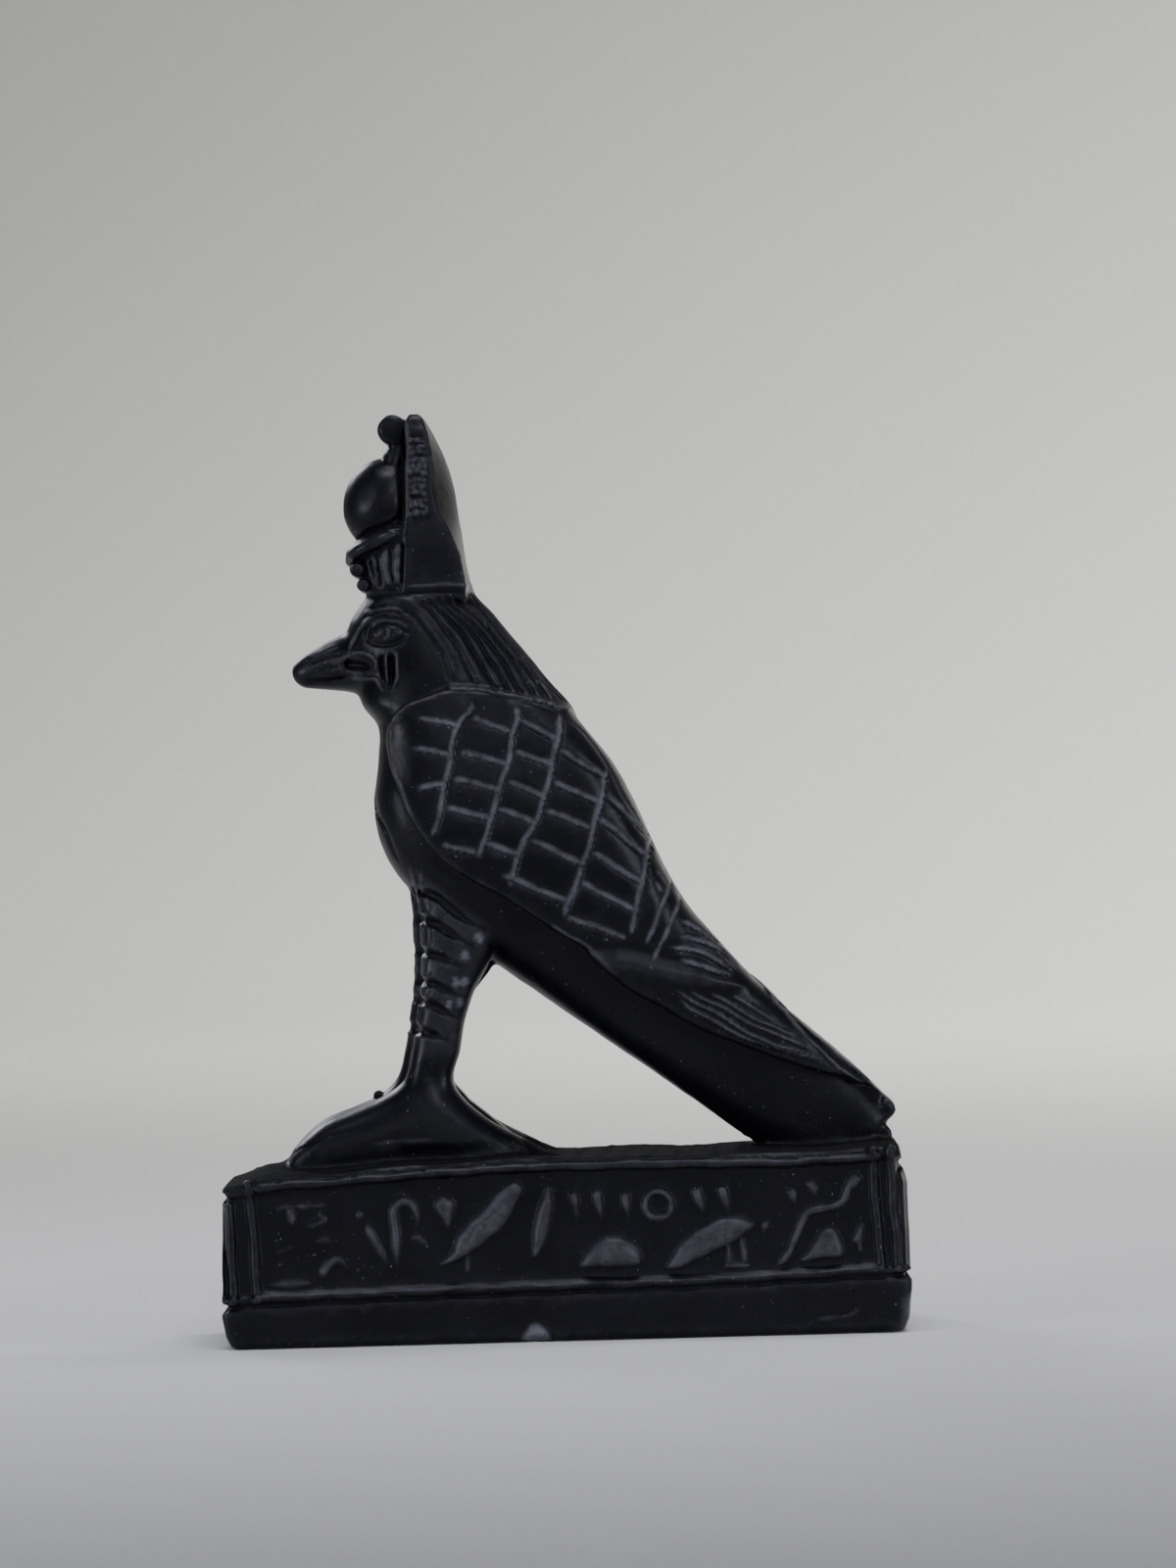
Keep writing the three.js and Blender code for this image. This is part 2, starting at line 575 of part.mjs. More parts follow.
function plinth() {
  const block = (grow, low, high) => {
    const [x, y] = [PLINTH_LENGTH / 2 + grow, PLINTH_WIDTH / 2 + grow];
    return box([-x, -y, low], [x, y, high]);
  };
  const groove = block(CUT_REACH, GROOVE_HEIGHT - GROOVE_WIDTH, GROOVE_HEIGHT)
    .subtract(block(-GROOVE_DEPTH, 0, PLINTH_HEIGHT));
  const shown = STROKES_SHOWN.map((row, i) => stroke(row, STROKE_LEANS_DEG[i], -1));
  const behind = STROKES_SHOWN.map((row, i) => stroke(row, STROKE_LEANS_DEG[i], 1))
    .filter((_, i) => i % BEHIND_EVERY === BEHIND_EVERY - 1);
  const body = plinthBlock().subtract(join([groove, ...bothSides(panelCuts).flat()]));
  return join([body, ...shown, ...behind]);
}

const figure = join([bodyAndWings(), head(), ...headRelief(), crown(), ...crownTrimmings(), legs()]);
const carved = figure.subtract(join([...wingCarving(), ...wigCarving(), ...crownCarving()]));
const whole = join([carved, ...wigHem(), plinth()]);

function meshOf(name, manifold, material) {
  const { vertProperties, triVerts } = manifold.getMesh();
  const geometry = new THREE.BufferGeometry();
  geometry.setAttribute('position', new THREE.Float32BufferAttribute(vertProperties, 3));
  geometry.setIndex(Array.from(triVerts));
  const mesh = new THREE.Mesh(geometry, material);
  mesh.name = name;
  return mesh;
}

const blackStone = new THREE.MeshStandardMaterial({ color: 0x15151a, roughness: 0.42, metalness: 0 });
const part = new THREE.Group();
part.add(meshOf('falcon_figure', whole, blackStone));

export default part;
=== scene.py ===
"""A small cast falcon figure: a crowned falcon on an oblong plinth, in satin black resin."""
import math

import bmesh
import bpy
import numpy as np
import openvdb as vdb
from mathutils import Matrix, Vector


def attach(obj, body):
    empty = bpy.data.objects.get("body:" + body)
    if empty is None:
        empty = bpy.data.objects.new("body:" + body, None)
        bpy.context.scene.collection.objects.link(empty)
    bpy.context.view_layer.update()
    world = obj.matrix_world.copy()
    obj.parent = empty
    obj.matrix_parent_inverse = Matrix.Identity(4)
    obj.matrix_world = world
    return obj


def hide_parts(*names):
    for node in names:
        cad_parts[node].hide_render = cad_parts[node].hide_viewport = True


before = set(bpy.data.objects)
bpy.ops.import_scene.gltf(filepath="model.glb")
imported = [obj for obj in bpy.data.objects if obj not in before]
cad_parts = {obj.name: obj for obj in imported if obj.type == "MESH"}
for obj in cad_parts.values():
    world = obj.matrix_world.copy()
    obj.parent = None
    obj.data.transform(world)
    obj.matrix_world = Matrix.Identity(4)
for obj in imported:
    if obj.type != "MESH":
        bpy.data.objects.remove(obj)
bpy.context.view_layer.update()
NODE = "falcon_figure"

# The figure is measured in millimetres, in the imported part's frame
MM = 0.001
# The grid's step and its box, how far from the surface it knows its distance, and the mesh's size
VOXEL = 0.25
LOW, HIGH = (-50.0, -19.0, -2.0), (50.0, 19.0, 132.0)
BAND = 1.9
TRIANGLES = 192_000
# Steps between the rows of a table, and between the points of a line or an outline
BODY_STEPS, STEPS, CROWN_STEPS, LINE_STEPS, OUTLINE_STEPS = 8, 6, 5, 5, 4
# The power of a line as soft at its foot as at its top, and how blunt a tapered end is
SOFT, BLUNTNESS = 0, 0.15


def path(*numbers):
    """Points of the side view, written as x,z pairs."""
    return list(zip(numbers[::2], numbers[1::2]))


def lines(*rows):
    return [path(*row) for row in rows]


# Plinth
LENGTH, WIDTH, HEIGHT = 96.0, 35.0, 25.5
EDGE_ROUNDING, END_ROUNDING, FOOT_ROUNDING = 0.9, 1.3, 0.7
# How far its long sides are hollow, and how far they draw in at the foot
SIDE_SAG, FOOT_DRAFT = 0.15, 0.9
PANEL_DEPTH = 0.55
# The grooves on its ends: height over the long sides' groove, and depth
END_GROOVES = ((0.0, 0.85), (15.3, 0.6))
GROOVE_HALF_WIDTH, GROOVE_REACH = 0.55, 2.4
PLINTH_LIMIT, PLINTH_PAINT_TOP = 27, 26.8
# The rough top: height, and the direction and pitch of its waves
TOP_ROUGHNESS = 0.018
TOP_WAVES = ((0.35, 1.9), (1.4, 1.7), (2.3, 2.1), (1.0, 1.5), (1.9, 1.6))
# Relief is pressed on: lowest and highest z, the y where it starts, and the run to its full height
FIGURE_RELIEF, PLINTH_RELIEF = (27.0, 131.5, 1.4, 1.6), (-1.0, 26.9, 13.5, 2.5)
# How pale raised marks are painted, partly as dust and partly as painted sheen, and the depth of the crevice
# round a raised patch
MARK_DUST_AND_SHEEN, CREVICE_DEPTH = 0.26, 0.2

# Figure
FAR_LEG_LEAD = 1.3
LEG_SPREAD, FOOT_SPREAD = 6.2, 6.4
LEG_WEB = 2.7
SEAT_DEPTH = 3.0
OUTLINE_ROUNDING = 0.8
PLUME_ROUNDING, PLUME_DOME_EXPONENT = 0.6, 1.35
EXPONENT = {"body": 3.2, "wings": 4.8, "head": 2.4, "beak": 2.2, "leg": 3.0, "foot": 2.3, "base": 2.8,
            "horns": 2.4, "post": 3.0}
FILLET = {"body": 0.3, "wings": 0.25, "head": 1.2, "beak": 0.9, "leg": 1.0, "foot": 1.4, "web": 0.9,
          "plumes": 0.5, "base": 0.3, "horns": 0.25, "post": 0.3, "plinth": 1.1}
# Balls: middle, half sizes along x, y and z, lean in radians, fillet
DISC = ((-22.1, 0.0, 117.4), (6.6, 6.4, 6.8), -0.25, 0.2)
SPUR = ((-26.1, 5.5, 33.8), (0.8, 0.8, 0.9), 0.0, 0.3)
# Round bars across the figure: x, z, half length, radius, fillet
TAIL_BARS = [(45.6, 30.6, 5.6, 1.05, 0.9), (45.1, 27.1, 5.8, 1.1, 0.9)]
CROWN_BARS = [(-21.4, 127.95, 3.6, 2.1, 0.5), (-26.8, 108.3, 6.9, 1.0, 0.3), (-26.0, 106.1, 6.6, 0.9, 0.3)]
# The share of a bar's radius that its ends are rounded by
BAR_ROUNDING = 0.45

# Body and tail: underside x, z, back x, z, half width over the wings, half width of the body
BODY = [
    (-22, 97, -10, 98, 9.5, 6.5), (-26.6, 90.5, 0.6, 90.6, 12.9, 10.4), (-24.5, 86, 4, 86, 13.9, 12),
    (-24.7, 81, 7.9, 81, 14.3, 13.1), (-25.4, 75.5, 11, 75.4, 14.6, 13.4), (-24.7, 70, 14, 68.4, 14.6, 13.3),
    (-21.8, 64.5, 17.4, 61.5, 14, 12.5), (-16, 58.5, 21.8, 55.8, 13.2, 11.2), (-8.3, 52, 26.5, 50.4, 12, 9.4),
    (1, 45.2, 31, 45.9, 10.8, 8.2), (10, 38.7, 36.2, 41.2, 9.8, 7.6), (18.5, 32.5, 41, 37, 8.8, 7.2),
    (26, 27, 45, 32.9, 7.8, 7), (32.5, 23, 46.8, 30.4, 7.2, 6.8), (38, 21, 45.2, 27.9, 6.6, 6.6),
    (44, 20, 46, 24, 6.4, 6.4),
]

# Head and wig: front x, back x, z, half width
HEAD = [
    (-24.6, -10.9, 106, 6.6), (-25.9, -10.3, 104.4, 8), (-27.6, -8.1, 102, 8.9), (-28.4, -6.5, 100, 9.3),
    (-28.3, -4.1, 97, 9.6), (-27.8, -1.7, 94, 10), (-27.2, -0.3, 92, 10.5), (-26.6, 1.1, 90, 11.2),
    (-24.8, 2.6, 88, 11.9), (-22, 2, 86.5, 11),
]

# Beak: x, top z, bottom z, half width
BEAK = [
    (-24.5, 101.4, 90.2, 7.2), (-28, 99.9, 91.1, 5.2), (-30.5, 98.8, 91.5, 4), (-33, 97.6, 91.8, 3.1),
    (-35, 96.4, 92.1, 2.3), (-36.1, 95.4, 92.9, 1.4), (-36.5, 94.7, 93.9, 0.5),
]

# Crown plumes: z, front x, rear edge of the flat side x, back x, half width
PLUMES = [
    (103.5, -20.6, -11.9, -10.4, 7.4), (105.4, -20.6, -11.6, -10.8, 7.6), (109.5, -20.4, -12.2, -11.6, 7.6),
    (113.3, -20.2, -13.6, -12, 7.5), (116, -20, -15.2, -12.4, 7.3), (119.5, -19.8, -16, -12.9, 6.9),
    (123, -19.7, -15.9, -13.8, 6.4), (126.5, -19.6, -16.3, -15.3, 5.8), (129, -19.5, -16.9, -16.6, 5.2),
    (130, -19.1, -17.6, -17.4, 4.4),
]

# Crown base: z, front x, half width; its back lies inside the plumes
CROWN_BASE = [(104, -25.4, 6.9), (106, -26.2, 7.1), (109, -27.1, 7.2), (112.5, -27, 7.3), (114, -24.5, 7)]
CROWN_BASE_BACK = -16.0
# Post behind the disc and the curl: z, front x, half width; its back lies inside the plumes too
CURL_POST_BACK = -19.0
CURL_POST = [
    (112, -23.5, 5.4), (117, -23, 5), (121, -22.7, 4.4), (124.2, -22.9, 3.6), (125.6, -22.1, 3.3),
    (127, -21.6, 3.2), (129.3, -21, 2.8),
]
# The horn band on the crown's side, the groove over it and the groove under it
HORN_BAND = path(-28.3,109.8, -26.6,111.2, -24.4,112.1, -22.3,112.9, -20.3,113.6)
HORN_OVER = path(-27.1,112.5, -24.9,113.7, -22.8,114.5, -21.1,115.3, -20.4,116.2)
HORN_UNDER = path(-27.8,108.9, -26.1,110, -23.9,111.2, -21.8,112.1)
CROWN_RIDGES = lines(
    (-25.3,109.6, -24.5,105.7),
    (-24.4,110.2, -24.1,105.7),
    (-22.6,111.2, -22.6,107.7, -22.4,105.9),
    (-20.9,111.9, -21,108.7, -21,106),
)
# Ribs on the plumes, and the lines round them and under them
RIB_COUNT, RIB_LOW, RIB_PITCH = 12, 115.9, 0.93
PLUME_EDGE = path(-19.35,129.2, -19.35,122, -19.6,115.4)
DISC_SHADE = path(-20.3,124.6, -20.35,120, -20.5,115.3)
PLUME_SHADE = path(-19.8,131, -19.8,127, -19.85,123)
CROWN_RIM = path(-11.5,105.7, -16,105.75, -20.2,105.8)
CROWN_FOOT = path(-12,104.8, -16,104.85, -20.4,104.7, -24.9,104.4)
# Horns under the disc: front x, z, back x, z, half width
HORNS = [
    (-27.8, 108.7, -19.4, 113, 7.1), (-28.5, 109.4, -19, 113.5, 7.75), (-28.4, 110.6, -19, 114.3, 7.7),
    (-27.4, 111.5, -19.4, 114.8, 7),
]

# Leg: z, front x, back x, half width
LEG = [
    (68, -19.5, -5.5, 3.6), (62.5, -19.3, -6.8, 4.2), (57.5, -19.2, -8.2, 4.5), (52.5, -19.2, -9.8, 4.5),
    (48.5, -19.4, -12, 4.3), (44.5, -20, -13.3, 4), (40.5, -20.8, -14.1, 3.8), (36.6, -21.9, -15.1, 3.8),
    (33, -24, -13.6, 4.4), (28, -26, -9, 5.2),
]
# Foot: x, top z, half width
FOOT = [
    (-39.6, 24.6, 2.6), (-38.4, 26.3, 4.2), (-37, 28.2, 5), (-34, 30.6, 5.5), (-30.5, 32.1, 5.6),
    (-26, 33.9, 5.5), (-22, 35.7, 5.2), (-18, 36.4, 5), (-14, 33.2, 5), (-10, 30.4, 4.8), (-5, 27.6, 4.2),
    (-1, 25.6, 3.2),
]
WEB = path(-18.6,66, -18.4,44, -20.6,34, -28,28, -6,26, -15.4,36, -13.6,46, -8,56)

# Wing outline in side view, x, z; its last points lie outside the body, over the back
WING = path(
    -13.2,91.1, -17,90.1, -20.8,88.6, -23.1,85.6, -22.8,81, -21.8,77.8, -20.3,73.9, -17.3,69.1, -13.3,65.4,
    -7.2,61.8, -1,57.5, 3.9,54.4, 6.9,51.4, 9.4,48.8, 13.8,46.2, 19.6,42.7, 26.4,39.9, 33.6,37, 41,34.9,
    44.2,33.1, 48,29.6, 56,34, 30,66, 10,92, 2.6,88, -5.8,90.2,
)

# The points along its front and under edge
WING_FRONT_POINTS = 14

# Feather courses cut across the wing
COURSES = lines(
    (-10.9,89.4, -11.3,87.8, -12.7,86.7, -13.7,84.5, -14.2,81.7, -15,78.6, -15.4,76.4, -16.1,73.1,
     -17.2,70.3),
    (-5.1,88.8, -4.7,86.6, -5.5,84.3, -6.1,80.9, -7,78.6, -7.8,76.7, -8.4,73.9, -9.6,70.5, -10.8,67.2),
    (1.1,87.7, 1,85.1, 0.6,82.9, -0.1,80.4, -0.6,77.9, -1.5,75.3, -2.6,72.2, -4.2,69.7, -5.2,67.8, -6.2,64,
     -6.8,62.8),
    (7.7,79.6, 7.2,78.3, 6.7,75.8, 5.8,72.6, 5.3,70.7, 4.5,67.8, 3.7,65.9, 2.7,63.1, 1.7,60.9, 0.9,58.7),
    (13.7,69.6, 12.6,66.3, 11.9,62.8, 11,59.7, 10.3,56.2),
)
BANDS = lines((16.6,64.4, 14.5,59.8, 12.2,54.4), (18,62.3, 15.5,57, 13.1,52))
# Strokes between the courses; the first few lie on the shoulder
SHOULDER_STROKES = 3
STROKES = lines(
    (-18.8,87.4, -13,86), (-20.1,83.2, -14.2,81.9), (-19,77.4, -15,78.1), (-11,87.1, -5.7,84.9),
    (-12.8,82.5, -6.4,80.4), (-14.1,78.7, -7.5,76.9), (-15.1,74.6, -8.9,73), (-15.7,69.5, -10.9,68.2),
    (-4.4,86.6, 0.6,83.9), (-5.4,82.3, -0.2,80.2), (-6.4,78.2, -1.1,75.6), (-7.9,74.3, -2.6,72.2),
    (-9.8,69.5, -4.9,67.8), (1,82.3, 7.4,78.3), (-0.1,77.9, 6.5,74.6), (-1.3,73.9, 5.1,71.2),
    (-3.4,69.9, 3.7,66.4), (-7.5,65.1, 1.7,61), (7.3,76, 13.4,69.5), (6.3,72.7, 13,67), (5,68, 12.1,63.3),
    (3.3,63.7, 11,59.5), (1.1,59.1, 9.8,55.7),
)
HATCHES = lines((14.9,66.8, 16.6,64.4), (14.1,65, 15.7,63), (13.7,63.5, 14.8,62))
# Feathers over the tail: the bright strokes above, and the long feathers below
QUILLS_ABOVE = lines(
    (17.2,57.9, 18.8,57.3, 20.7,56, 22.9,54.1),
    (16.9,55.9, 18.8,55.5, 21.2,54.5, 23.4,53.1, 25.5,50.7),
    (15.5,54.3, 17.1,54.2, 19.3,53.8, 21.7,52.6, 24.4,50.9),
    (17.1,52.6, 19.5,51.7, 22.2,50.8, 24.4,50.3),
)
QUILLS_BELOW = lines(
    (16.4,47.7, 17.7,46, 19.9,44.7, 23.1,42.8, 27.4,40.6, 31.3,39.3, 35.3,38.1, 37,37.5),
    (15.9,48.5, 18.3,46.8, 21,45.3, 23.7,43.6, 25.8,42.2, 29.4,40.3, 32.4,39.5, 35.3,38.4),
    (17.8,48.2, 20.5,46.7, 23.2,45.3, 25.9,43.6, 29.1,42.1, 32.7,40.6, 35.6,39.2),
    (21.1,47.8, 23.8,46.1, 26.4,44.4, 30,42.6, 33,41.2),
    (24.3,47.2, 27.6,45.2, 30,43.4),
)
WING_ROLL = path(3.5,53.9, 6.9,52.6, 9.6,52, 13.7,50.9, 17.8,49.9, 21.6,49.3, 24.4,48.8, 26.6,48.2)
MARGIN = path(1.4,86.5, 4.2,84.7, 7.7,79.6, 10.2,74.5, 13.5,69.2)
TAIL_LINES = lines(
    (26,51.2, 29.3,47.9, 30.6,45.9, 32.7,43.4, 35.4,40.3, 39.1,36.6, 43.2,33.4),
    (27.4,49.8, 30.1,47, 34.1,42.8, 39.5,38, 44,34),
)
BREAST_FOLD = path(-25.4,80, -24.9,74.5, -23.7,71.7, -22.5,68.5, -21.4,66.4)
# The fold between the wing and the thigh, painted dark as painted shadow
FOLD = path(
    -20,72.5, -17.3,68.8, -13.3,65.1, -7.2,61.5, -2,57.8, -5,56.4, -9.6,59.8, -12.6,63, -15,65.7, -18.4,69.5,
)

# Stripes of the wig, from the crown to its hem: their width and depth, the last for all that follow
STRIPE_SIZES = ((0.8, 0.3), (1.0, 0.45), (1.45, 0.7))
# Pitch of the stripes down its back
BACK_PITCH = 1.9
WIG_STRIPES = lines(
    (-20.8,102.4, -19.1,101.4, -17.5,99.5, -16.1,97.5, -15,95.3, -14.1,92.6),
    (-18.6,103.4, -17.3,103, -15.7,101, -13.6,98.1, -12.4,95.9, -11.3,93.4, -10.5,91.6),
    (-17.3,104, -14.8,101.8, -13.1,99.8, -11.8,98.2, -10.4,95.9, -9,93.4, -7.8,91.1),
    (-16.3,104.3, -14,102.4, -11.9,100.1, -10.2,97.9, -8.6,95.3, -7.3,93.3, -5.9,90.7),
    (-15.1,104.3, -12.7,102.4, -10.6,100, -8.5,97.3, -6.9,95, -5.7,93, -4.2,90.4),
    (-13.6,104.2, -11.4,102.3, -9.1,100, -7.1,97.3, -5.5,95.1, -4,93, -2.3,90),
    (-12.1,104, -10.2,102.5, -7.8,99.8, -5.9,97.3, -4.3,95, -2.7,92.6, -0.6,89.5),
)
WIG_FRONT = path(-25.5,102.7, -23.9,103.8, -22.2,104.1, -20.2,103.7, -18.6,102.9, -17.3,101.7)
HEM = path(-14,91.5, -9,90.9, -3,89.6, 2.6,88.1)
BROWS = lines(
    (-28.4,96.9, -27.4,98.4, -26.6,100, -25.4,101.2, -24.1,101.9, -22.8,102.1, -21.5,101.8, -20.2,101.1),
    (-25.1,100.2, -24.1,100.9, -22.8,101.1, -21.5,100.8, -20.2,100.1, -19.5,99.1),
    (-25.9,102.1, -24.1,102.5, -22.4,102.8, -21.1,102.4, -20.4,101.7),
)
HEM_BEADS = 12
EYE, EYE_HALF = (-22.9, 99.2), (2.1, 1.25)
PUPIL, PUPIL_RADIUS = (-23.6, 99.4), 0.8
TEAR_SLOTS = lines((-23.6,96.1, -23.5,94, -23.2,92.2), (-22.3,96.2, -22.1,94.2, -22.4,92.4, -22.8,91.5))
TEAR_RIM = path(-21.9,96.7, -21.5,95.8, -21.4,94.1, -21.7,92.5, -22.4,91.4)
TEAR_MIDDLE = path(-22.9,96.6, -22.95,94.6, -22.9,92.7, -22.5,92.5)
GAPE = path(-29.2,95.2, -27.8,95, -26.4,94.8, -25.3,94.3)
GAPE_RIM = path(-28.3,96.5, -27,96.8, -25.7,96.5, -24.7,95.6, -24.4,94.6, -24.6,93.7)
MOUTH = path(-35.5,93, -32.6,93, -30.2,93.2, -28.4,93.6)
LIP = path(-28.2,93.3, -26.9,93, -25.5,92.9, -24.6,92.8, -24,91.7, -23.4,91.2)
BEAK_RIDGE = path(-34.2,96, -32.5,96.8, -30.9,97.4, -28.9,98.1)
BEAK_GROOVES = lines((-34.6,95.1, -32.5,95.9, -30.1,96.4, -28.8,96.5), (-33.1,94.2, -31.3,94.6, -29.4,94.9))

# Grooved bands across the leg
LEG_BANDS = lines(
    (-19.5,63.2, -17.6,62.5, -15.7,61.1, -12.7,58.7, -10.2,57.3),
    (-19.1,59.1, -16.7,58.2, -14.8,56.9, -12.8,55.6, -12.1,55.1),
    (-19,54.6, -16.9,53.8, -14.6,52.7, -13.7,52.4),
    (-19.1,50.4, -17.5,49.9, -14.5,48.5, -13.5,48.2),
    (-19.4,47.6, -17.5,46.9, -15.6,45.7, -14.4,45.1),
    (-20.1,43.6, -18.1,43, -15.7,42),
)
SHIN = path(-20.3,67, -19.8,64.1, -19.2,59.8, -19,54.8, -19.1,49.8, -19.8,46.6, -20.6,41.5)
BEVEL = path(-18.9,65, -18.6,62.3, -17.9,59.8, -17.9,55, -18.3,51.1, -18.7,48)
BEVEL_PARTS = [(65.6, 64.2), (62, 60), (58, 55.4), (53.6, 51.1), (49.4, 48.6)]
# A patch of the leg painted pale as painted sheen
LEG_SHEEN = path(
    -19.8,66, -15,62, -9.8,57.6, -11.2,53.4, -12.4,50.2, -13.5,45.2, -14.2,40.5, -19.9,40.5, -19.3,48,
    -18.9,55, -19.2,60,
)
# Pale patches on the back of the leg: painted highlights
PAINTED_LEG_HIGHLIGHTS = lines(
    (-11.5,56.9, -10.6,55.4), (-13.1,54.6, -12.8,52.9), (-14.6,51, -14.2,49.2), (-13.4,50.9, -13.2,49.5),
    (-15.9,47.2, -15,46.8), (-13.9,48, -13.8,46.5),
)
TOE_CREASE = path(-38,26.6, -33,29, -28,30.2)
FOOT_CREASE = path(-27,27.9, -22,28.4, -16.3,27.9)

# Plinth: the near top edge, how far the top's middle rises over it, the raised frame's top and bottom
# beads, the groove under it, the upright bars
TOP_EDGE = path(
    -48.5,22.4, -42.4,23.4, -34.7,24, -21.1,25, -7.5,25.6, 3.4,25.4, 17,25.3, 30,25.4, 42.9,25.8, 48.5,26,
)
TOP_CROWN = path(-48,0, -42,1.2, -36,1.3, -20,0.3, 4,0, 24,0.4, 48,0.2)
TOP_BEAD = path(-42.5,22.5, -32,22.9, -18,23.7, -2,24.3, 17,24.3, 30.6,23.9, 43.7,24.5)
LOW_BEAD = path(-43,7.4, -20,7.8, 0,8.1, 20,8.3, 43.7,9.2)
GROOVE = path(-49,5.7, -37.9,6.3, -2.5,6.9, 16.5,7.1, 44.5,8, 49,8.1)
BARS = lines(
    (-46.2,6.8, -46.4,12, -46.6,20.6),
    (-43.1,6.8, -43.2,13.7, -43.5,19, -44,23.8),
    (43.8,9.2, 43.2,17.8, 42.9,26.2),
    (46.2,9, 45.6,17.7, 45.4,26.2),
)
# Marks in the near row
CROOK = path(-23.6,11, -23.5,15.3, -23.9,18.3, -22.8,19.8, -21.3,19.7, -20.5,18, -20.9,16.4)
TEARDROP = path(
    -18.2,19.5, -17.4,20.7, -16.4,20.7, -15.4,19.9, -15.3,18.5, -15.9,16.4, -16.4,16.3, -17.3,17.8,
)
LONG_LEAF = path(
    -17.3,11.2, -15.8,13.2, -15.1,15, -13.3,17, -11,19.1, -9.7,20.6, -8.1,22, -6.8,22.5, -5.8,21.6, -6.2,19.9,
    -7.2,17.7, -9,15.7, -10.9,14.2, -12.8,12.9, -14.8,11.7,
)
SHORT_LEAF = path(
    13.8,9.8, 15,11.9, 16.4,13.6, 18,14.9, 19.9,15.9, 21.8,16.6, 23.9,16.8, 25.6,16.3, 26.3,15.5, 25.5,14.5,
    24.1,13.6, 22.8,12.9, 21.1,12.2, 19,11.2, 16.8,10.2, 15.2,9.6,
)
SPINDLE = path(
    -2.3,21.5, -3.3,19.8, -4.2,17.1, -4.7,14.2, -4.5,11.8, -3.3,13.1, -2.2,15.5, -1.7,18.1,
    -1.8,20.5,
)
HALF_ROUND = path(
    1.9,10.4, 2.7,12.2, 4.1,13.7, 5.7,14.5, 7.9,14.2, 9.7,13.2, 10.5,11.7, 10,10.4, 6.7,10.1,
    3.5,10.2,
)
CORD = path(29.2,9.5, 31.1,11.7, 32.4,14.9, 34,17.2, 37.1,17.7, 38.7,18.7, 39.5,20.3, 40.3,21.2)
LAST_MOUND = path(
    32.6,10.2, 33.6,11.6, 34.5,13.2, 35.8,14.6, 37.4,14.7, 38.2,13.7, 38.6,12.2, 38.2,10.9,
    36.1,10.6,
)
DART = path(41.1,15.6, 40.4,14.3, 39.9,13, 40.5,12.2, 40.9,11, 41.4,13.4)
# Leaves in the far row: middle x, z, length, lean in degrees, width
FAR_LEAVES = [
    (-34, 16, 8, 60, 2.2), (-24, 15.8, 9, 4, 1.8), (-14, 14, 10, 52, 3), (-4, 16.4, 9.4, -4, 1.9),
    (8, 19, 3.4, 8, 1.1), (14, 15.6, 10, 40, 2.8), (26, 16, 9, 0, 1.9), (36, 15, 9, -38, 2.2),
]
# Wear on the plinth's near side
CHIP = path(-6.2,0.4, -5.8,1.8, -4.6,2.7, -3.4,2, -2.6,0.9, -2.9,0.2)
CRACK = path(32.4,0.9, 34.6,2.1, 36.7,2.4, 38.8,2.7, 40.4,3.5, 41.3,5.1)
WORN_CORNER = path(44.8,-0.5, 46.2,0.8, 46.8,2.4, 47,4.6, 49,5, 49,-0.5)
# Ends of the plinth in side view: z, front x, back x
ENDS = [
    (-1, -46.3, 46.6), (0, -46.8, 46.9), (2, -47.6, 47.7), (4.6, -48, 47.9), (7.3, -48, 48),
    (12, -47.9, 47.9), (20.9, -47.6, 47.8), (22.5, -47.9, 47.4), (27, -48, 46.8),
]


class Field:
    """Signed distance to the figure, in millimetres, on a grid of VOXEL steps."""

    def __init__(self):
        self.first = [math.floor(v / VOXEL) for v in LOW]
        last = [math.ceil(v / VOXEL) for v in HIGH]
        self.axes = [np.arange(a, b + 1, dtype=np.float32) * np.float32(VOXEL)
                     for a, b in zip(self.first, last)]
        self.value = np.full([len(a) for a in self.axes], BAND, np.float32)

    def window(self, low, high, margin=BAND):
        """Slices of the grid round a box, and their coordinates ready to broadcast."""
        cuts = []
        for axis, a, b in zip(self.axes, low, high):
            start, stop = np.searchsorted(axis, [a - margin, b + margin])
            cuts.append(slice(int(start), int(min(stop + 1, len(axis)))))
        x, y, z = (axis[cut] for axis, cut in zip(self.axes, cuts))
        return tuple(cuts), (x[:, None, None], y[None, :, None], z[None, None, :])

    def join(self, cuts, part, fillet):
        """Adds a part, with a fillet of about that radius where the two meet."""
        self.value[cuts] = soft_min(self.value[cuts], np.clip(part, -BAND, BAND), fillet)

    def cut(self, cuts, part, rounding):
        """Takes a part away, with edges rounded by about that radius."""
        self.value[cuts] = -soft_min(-self.value[cuts], np.clip(part, -BAND, BAND), rounding)


def soft_min(a, b, radius):
    """The smaller of two distances, blended where they are within the radius of each other."""
    share = np.clip(0.5 + 0.5 * (b - a) / radius, 0, 1)
    return (b + (a - b) * share - radius * share * (1 - share)).astype(np.float32)


def ramp(value):
    """A smooth step from 0 to 1."""
    t = np.clip(value, 0, 1)
    return t * t * (3 - 2 * t)


def smooth_rows(rows, steps, closed=False):
    """Table rows with smooth steps between them."""
    rows = np.array(rows, float)
    padded = np.vstack([rows[-1:], rows, rows[:2]] if closed else [rows[:1], rows, rows[-1:]])
    out = []
    for a, b, c, d in zip(padded, padded[1:], padded[2:], padded[3:]):
        for t in np.arange(steps) / steps:
            out.append(0.5 * (2 * b + (c - a) * t + (2 * a - 5 * b + 4 * c - d) * t * t
                              + (3 * b - a - 3 * c + d) * t ** 3))
    return np.array(out if closed else out + [rows[-1]])


